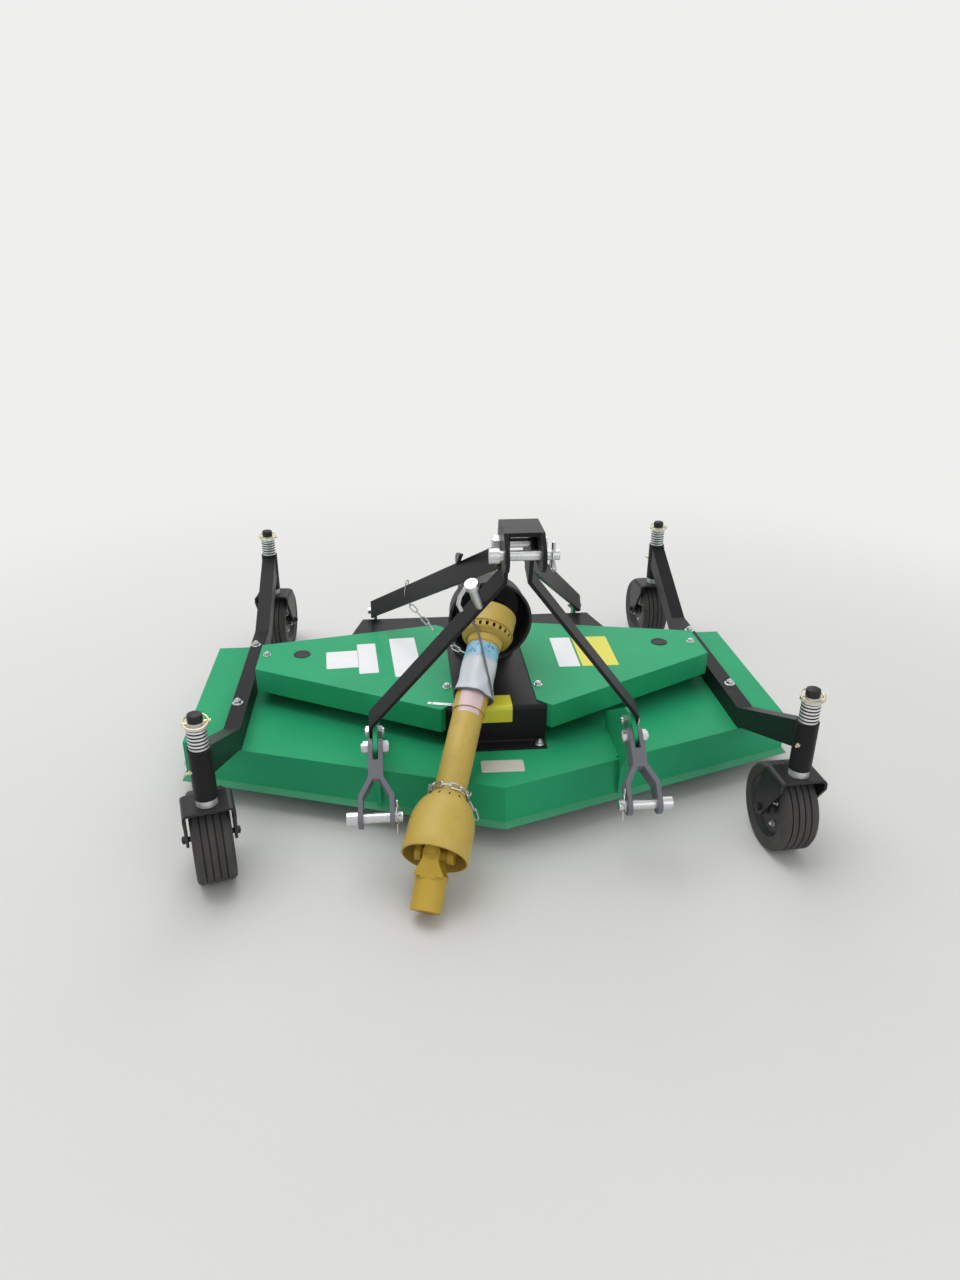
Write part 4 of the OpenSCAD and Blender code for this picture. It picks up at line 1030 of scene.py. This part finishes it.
class MOWER_OT_guard_trim(bpy.types.Operator):
    """Rings, domed skin, yoke ears, film, strap, label and chains of the drive shaft"""
    bl_idname = "mower.guard_trim"
    bl_label = "Guard trim"

    def execute(self, context):
        c = context.scene.mower_chain
        upper = turned(SHAFT_DIR, UPPER, SHAFT_SIDE)
        lower = turned(-SHAFT_DIR, LOWER, SHAFT_SIDE)

        # Beads round the upper bell: radius, distance
        bm = bmesh.new()
        for r, h in ((64.2, 44), (47.8, 67.5)):
            sweep(bm, [upper @ p for p in circle(r, h, 72)], 1.4, 8, closed=True)
        piece(bm, "beads_upper", "guard", "upper_half")

        # Domed skin over the tractor side bell, and the marks near its neck
        bm = bmesh.new()
        dome = [(GUARD_R2 + 0.5, 147), (GUARD_R2 + 1.2, 140), (GUARD_R2 + 4, 132), (47, 124), (55, 114),
                (61.5, 103), (66.5, 90), (70, 76), (71.8, 62), (72.3, 40), (72.3, 15), (72.5, -8.5),
                (71.6, -9.8), (71.1, -9.4), (71.2, 58), (69.4, 66), (63, 90), (52, 113),
                (GUARD_R2 + 0.3, 135.5), (GUARD_R2 + 0.2, 147), (GUARD_R2 + 0.5, 147)]
        lathe(bm, dome, lower, 72)
        piece(bm, "bell_skin", "guard", "lower_half", angle=40)
        bm = bmesh.new()
        for k in range(14):
            a = math.tau * k / 14
            slot = turned(polar(1, a, 0.9), polar(50.6, a, 120.5), (0, 0, 1))
            prism(bm, rounded_outline(9, 3, 1.2, 3), -1, 0.35, lower @ slot)
        piece(bm, "bell_slots", "cap", "lower_half")

        # Rings pressed into the loose yoke's bosses
        bm = bmesh.new()
        for r in (13.2, 16.6):
            for way in (-1, 1):
                ring = [END_LOWER @ Vector((way * EAR_OUT, p.x, p.y)) for p in circle(r, 0, 40)]
                sweep(bm, ring, 1.0, 8, closed=True)
        piece(bm, "boss_rings", "yellow paint", "tractor_end")

        # Ears of the loose yoke flare out to its hub: distance, half width, inner and outer face
        bm = bmesh.new()
        stations = ((6, 16.9, 28.5, 42.3), (16, 17.4, 28.5, 42.3), (26, 21, 28, 42.3), (34, 25.5, 25, 40.5),
                    (41, 29, 19, 37.6), (47, 31, 12, 35), (50, 31, 12, 34.4))
        for way in (-1, 1):
            loops = []
            for down, half, inner, outer in stations:
                corners = ((outer, -half), (outer, half), (inner, half), (inner, -half))
                loops.append([bm.verts.new(END_LOWER @ Vector((way * x, y, down))) for x, y in corners])
            bm.faces.new(loops[0][::-1])
            bm.faces.new(loops[-1])
            for low, high in zip(loops, loops[1:]):
                for i in range(4):
                    j = (i + 1) % 4
                    bm.faces.new((low[i], low[j], high[j], high[i]))
        piece(bm, "yoke_cheeks", "yellow paint", "tractor_end", 0.0015, angle=50)

        # Loose film, wider at its lower end, over the outer guard tube
        bm = bmesh.new()
        rings = []
        for k in range(25):
            down = k / 24
            h = BELL_LEN1 + 6 + 136 * down
            loose = 1.2 + 5.5 * down ** 1.6
            loop = []
            for i in range(72):
                a = math.tau * i / 72
                fold = noise.noise(polar(1.6, a, h * 0.018)) * (1.5 + loose)
                r = max(GUARD_R1 + 0.35, GUARD_R1 + loose + fold)
                slant = 7 * math.sin(a + 0.6) * down ** 2
                loop.append(bm.verts.new(upper @ polar(r, a, h + slant)))
            rings.append(loop)
        hem = [v.co.copy() for v in rings[-1]]
        for low, high in zip(rings, rings[1:]):
            for i in range(72):
                j = (i + 1) % 72
                bm.faces.new((low[i], low[j], high[j], high[i]))
        wrap = piece(bm, "guard_film", "film", "upper_half", angle=60)
        mod = wrap.modifiers.new("thick", "SOLIDIFY")
        mod.thickness = 0.0004
        mod.offset = 1

        # Blank label on the tubes, running over their step
        bm = bmesh.new()
        at = upper @ Matrix.Rotation(math.radians(90), 4, "Z")
        arc = [math.radians(a) for a in range(-54, 31, 6)]
        for r, low, high in ((GUARD_R1, 222, GUARD_STEP), (GUARD_R2, GUARD_STEP + 1, 292)):
            outline = [polar(r, a).xy for a in arc] + [polar(r + 0.35, a).xy for a in arc[::-1]]
            prism(bm, outline, low, high, at)
        piece(bm, "label_tube", "sign pink", "upper_half", angle=60)

        # Grey hem of the film, and the strap that runs from it over the bell: distance, radius, degrees
        bm = bmesh.new()
        sweep(bm, hem, 2.4, 8, closed=True)
        strap = ((38, 69, 122), (50, 67.5, 116), (62, 61, 110), (74, 54, 103), (86, 49, 97), (105, 46.5, 88),
                 (130, 46, 76), (155, 46, 63), (180, 47, 49), (203, 49, 34), (222, 50, 18), (232, 48, 2))
        sweep(bm, [upper @ polar(r, math.radians(a), h) for h, r, a in strap], 2.6, 8)
        piece(bm, "film_strap", "grey", "upper_half")

        # Chain wrapped in loose strands round the lower bell's neck, its end hanging on the right.
        # Each strand: turns, start in radians, radius, distance, lean
        bm = bmesh.new()
        strands = ((1.05, 0.3, 42.6, 146, 4), (1.0, 2.4, 43.2, 138, -6), (0.62, 0.1, 45.5, 149, 6))
        for turns, start, r, h, lean in strands:
            run = []
            for k in range(25):
                a = start + math.tau * turns * k / 24
                run.append(lower @ polar(r, a, h + lean * math.sin(a)))
            chain(bm, run, c.wire, c.pitch, seed=h)
        tail = [lower @ Vector(p) for p in ((44, 14, 138), (52, 18, 128), (62, 22, 112), (68, 26, 98))]
        chain(bm, tail, c.wire, c.pitch)
        piece(bm, "chain_wrap", "zinc", "lower_half")

        # Chain that keeps the guard from turning, from the left strut to the upper bell's neck, in two halves
        middle = (-127, 490, 358)
        strut_run = ((-203, 560, 482), (-206, 552, 452), (-201, 543, 428), (-165, 520, 392), middle)
        neck_run = (middle, (-113, 465, 350), (-98, 438, 350), (-64, 402, 344))
        for name, run, a, b in (("chain_frame", strut_run, "frame", "upper_joint"),
                                ("chain_guard", neck_run, "upper_joint", "upper_half")):
            bm = bmesh.new()
            chain(bm, run, c.wire, c.pitch)
            obj = made(bm, name, "zinc", 180)
            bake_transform(obj)
        return {"FINISHED"}


class MOWER_PT_panel(bpy.types.Panel):
    """The mower's steps and settings in the sidebar"""
    bl_idname = "MOWER_PT_panel"
    bl_label = "Mower"
    bl_space_type = "VIEW_3D"
    bl_region_type = "UI"
    bl_category = "Mower"

    def draw(self, context):
        for step in STEPS:
            self.layout.operator("mower." + step)
        for group in GROUPS:
            for prop in getattr(context.scene, group).bl_rna.properties:
                if not prop.is_readonly and prop.identifier != "name":
                    self.layout.prop(getattr(context.scene, group), prop.identifier)


STEPS = ("stage", "finishes", "deck_trim", "cover_trim", "caster_trim", "hitch_trim", "guard_trim")
GROUPS = {"mower_stage": StageSettings, "mower_finish": FinishSettings, "mower_fastener": FastenerSettings,
          "mower_chain": ChainSettings}
CLASSES = (*GROUPS.values(), MOWER_OT_stage, MOWER_OT_finishes, MOWER_OT_deck_trim, MOWER_OT_cover_trim,
           MOWER_OT_caster_trim, MOWER_OT_hitch_trim, MOWER_OT_guard_trim, MOWER_PT_panel)


def register():
    for cls in CLASSES:
        bpy.utils.register_class(cls)
    for name, group in GROUPS.items():
        setattr(bpy.types.Scene, name, PointerProperty(type=group))


def unregister():
    for name in GROUPS:
        delattr(bpy.types.Scene, name)
    for cls in reversed(CLASSES):
        bpy.utils.unregister_class(cls)


def main():
    register()
    for step in STEPS:
        getattr(bpy.ops.mower, step)()


if __name__ == "__main__":
    main()
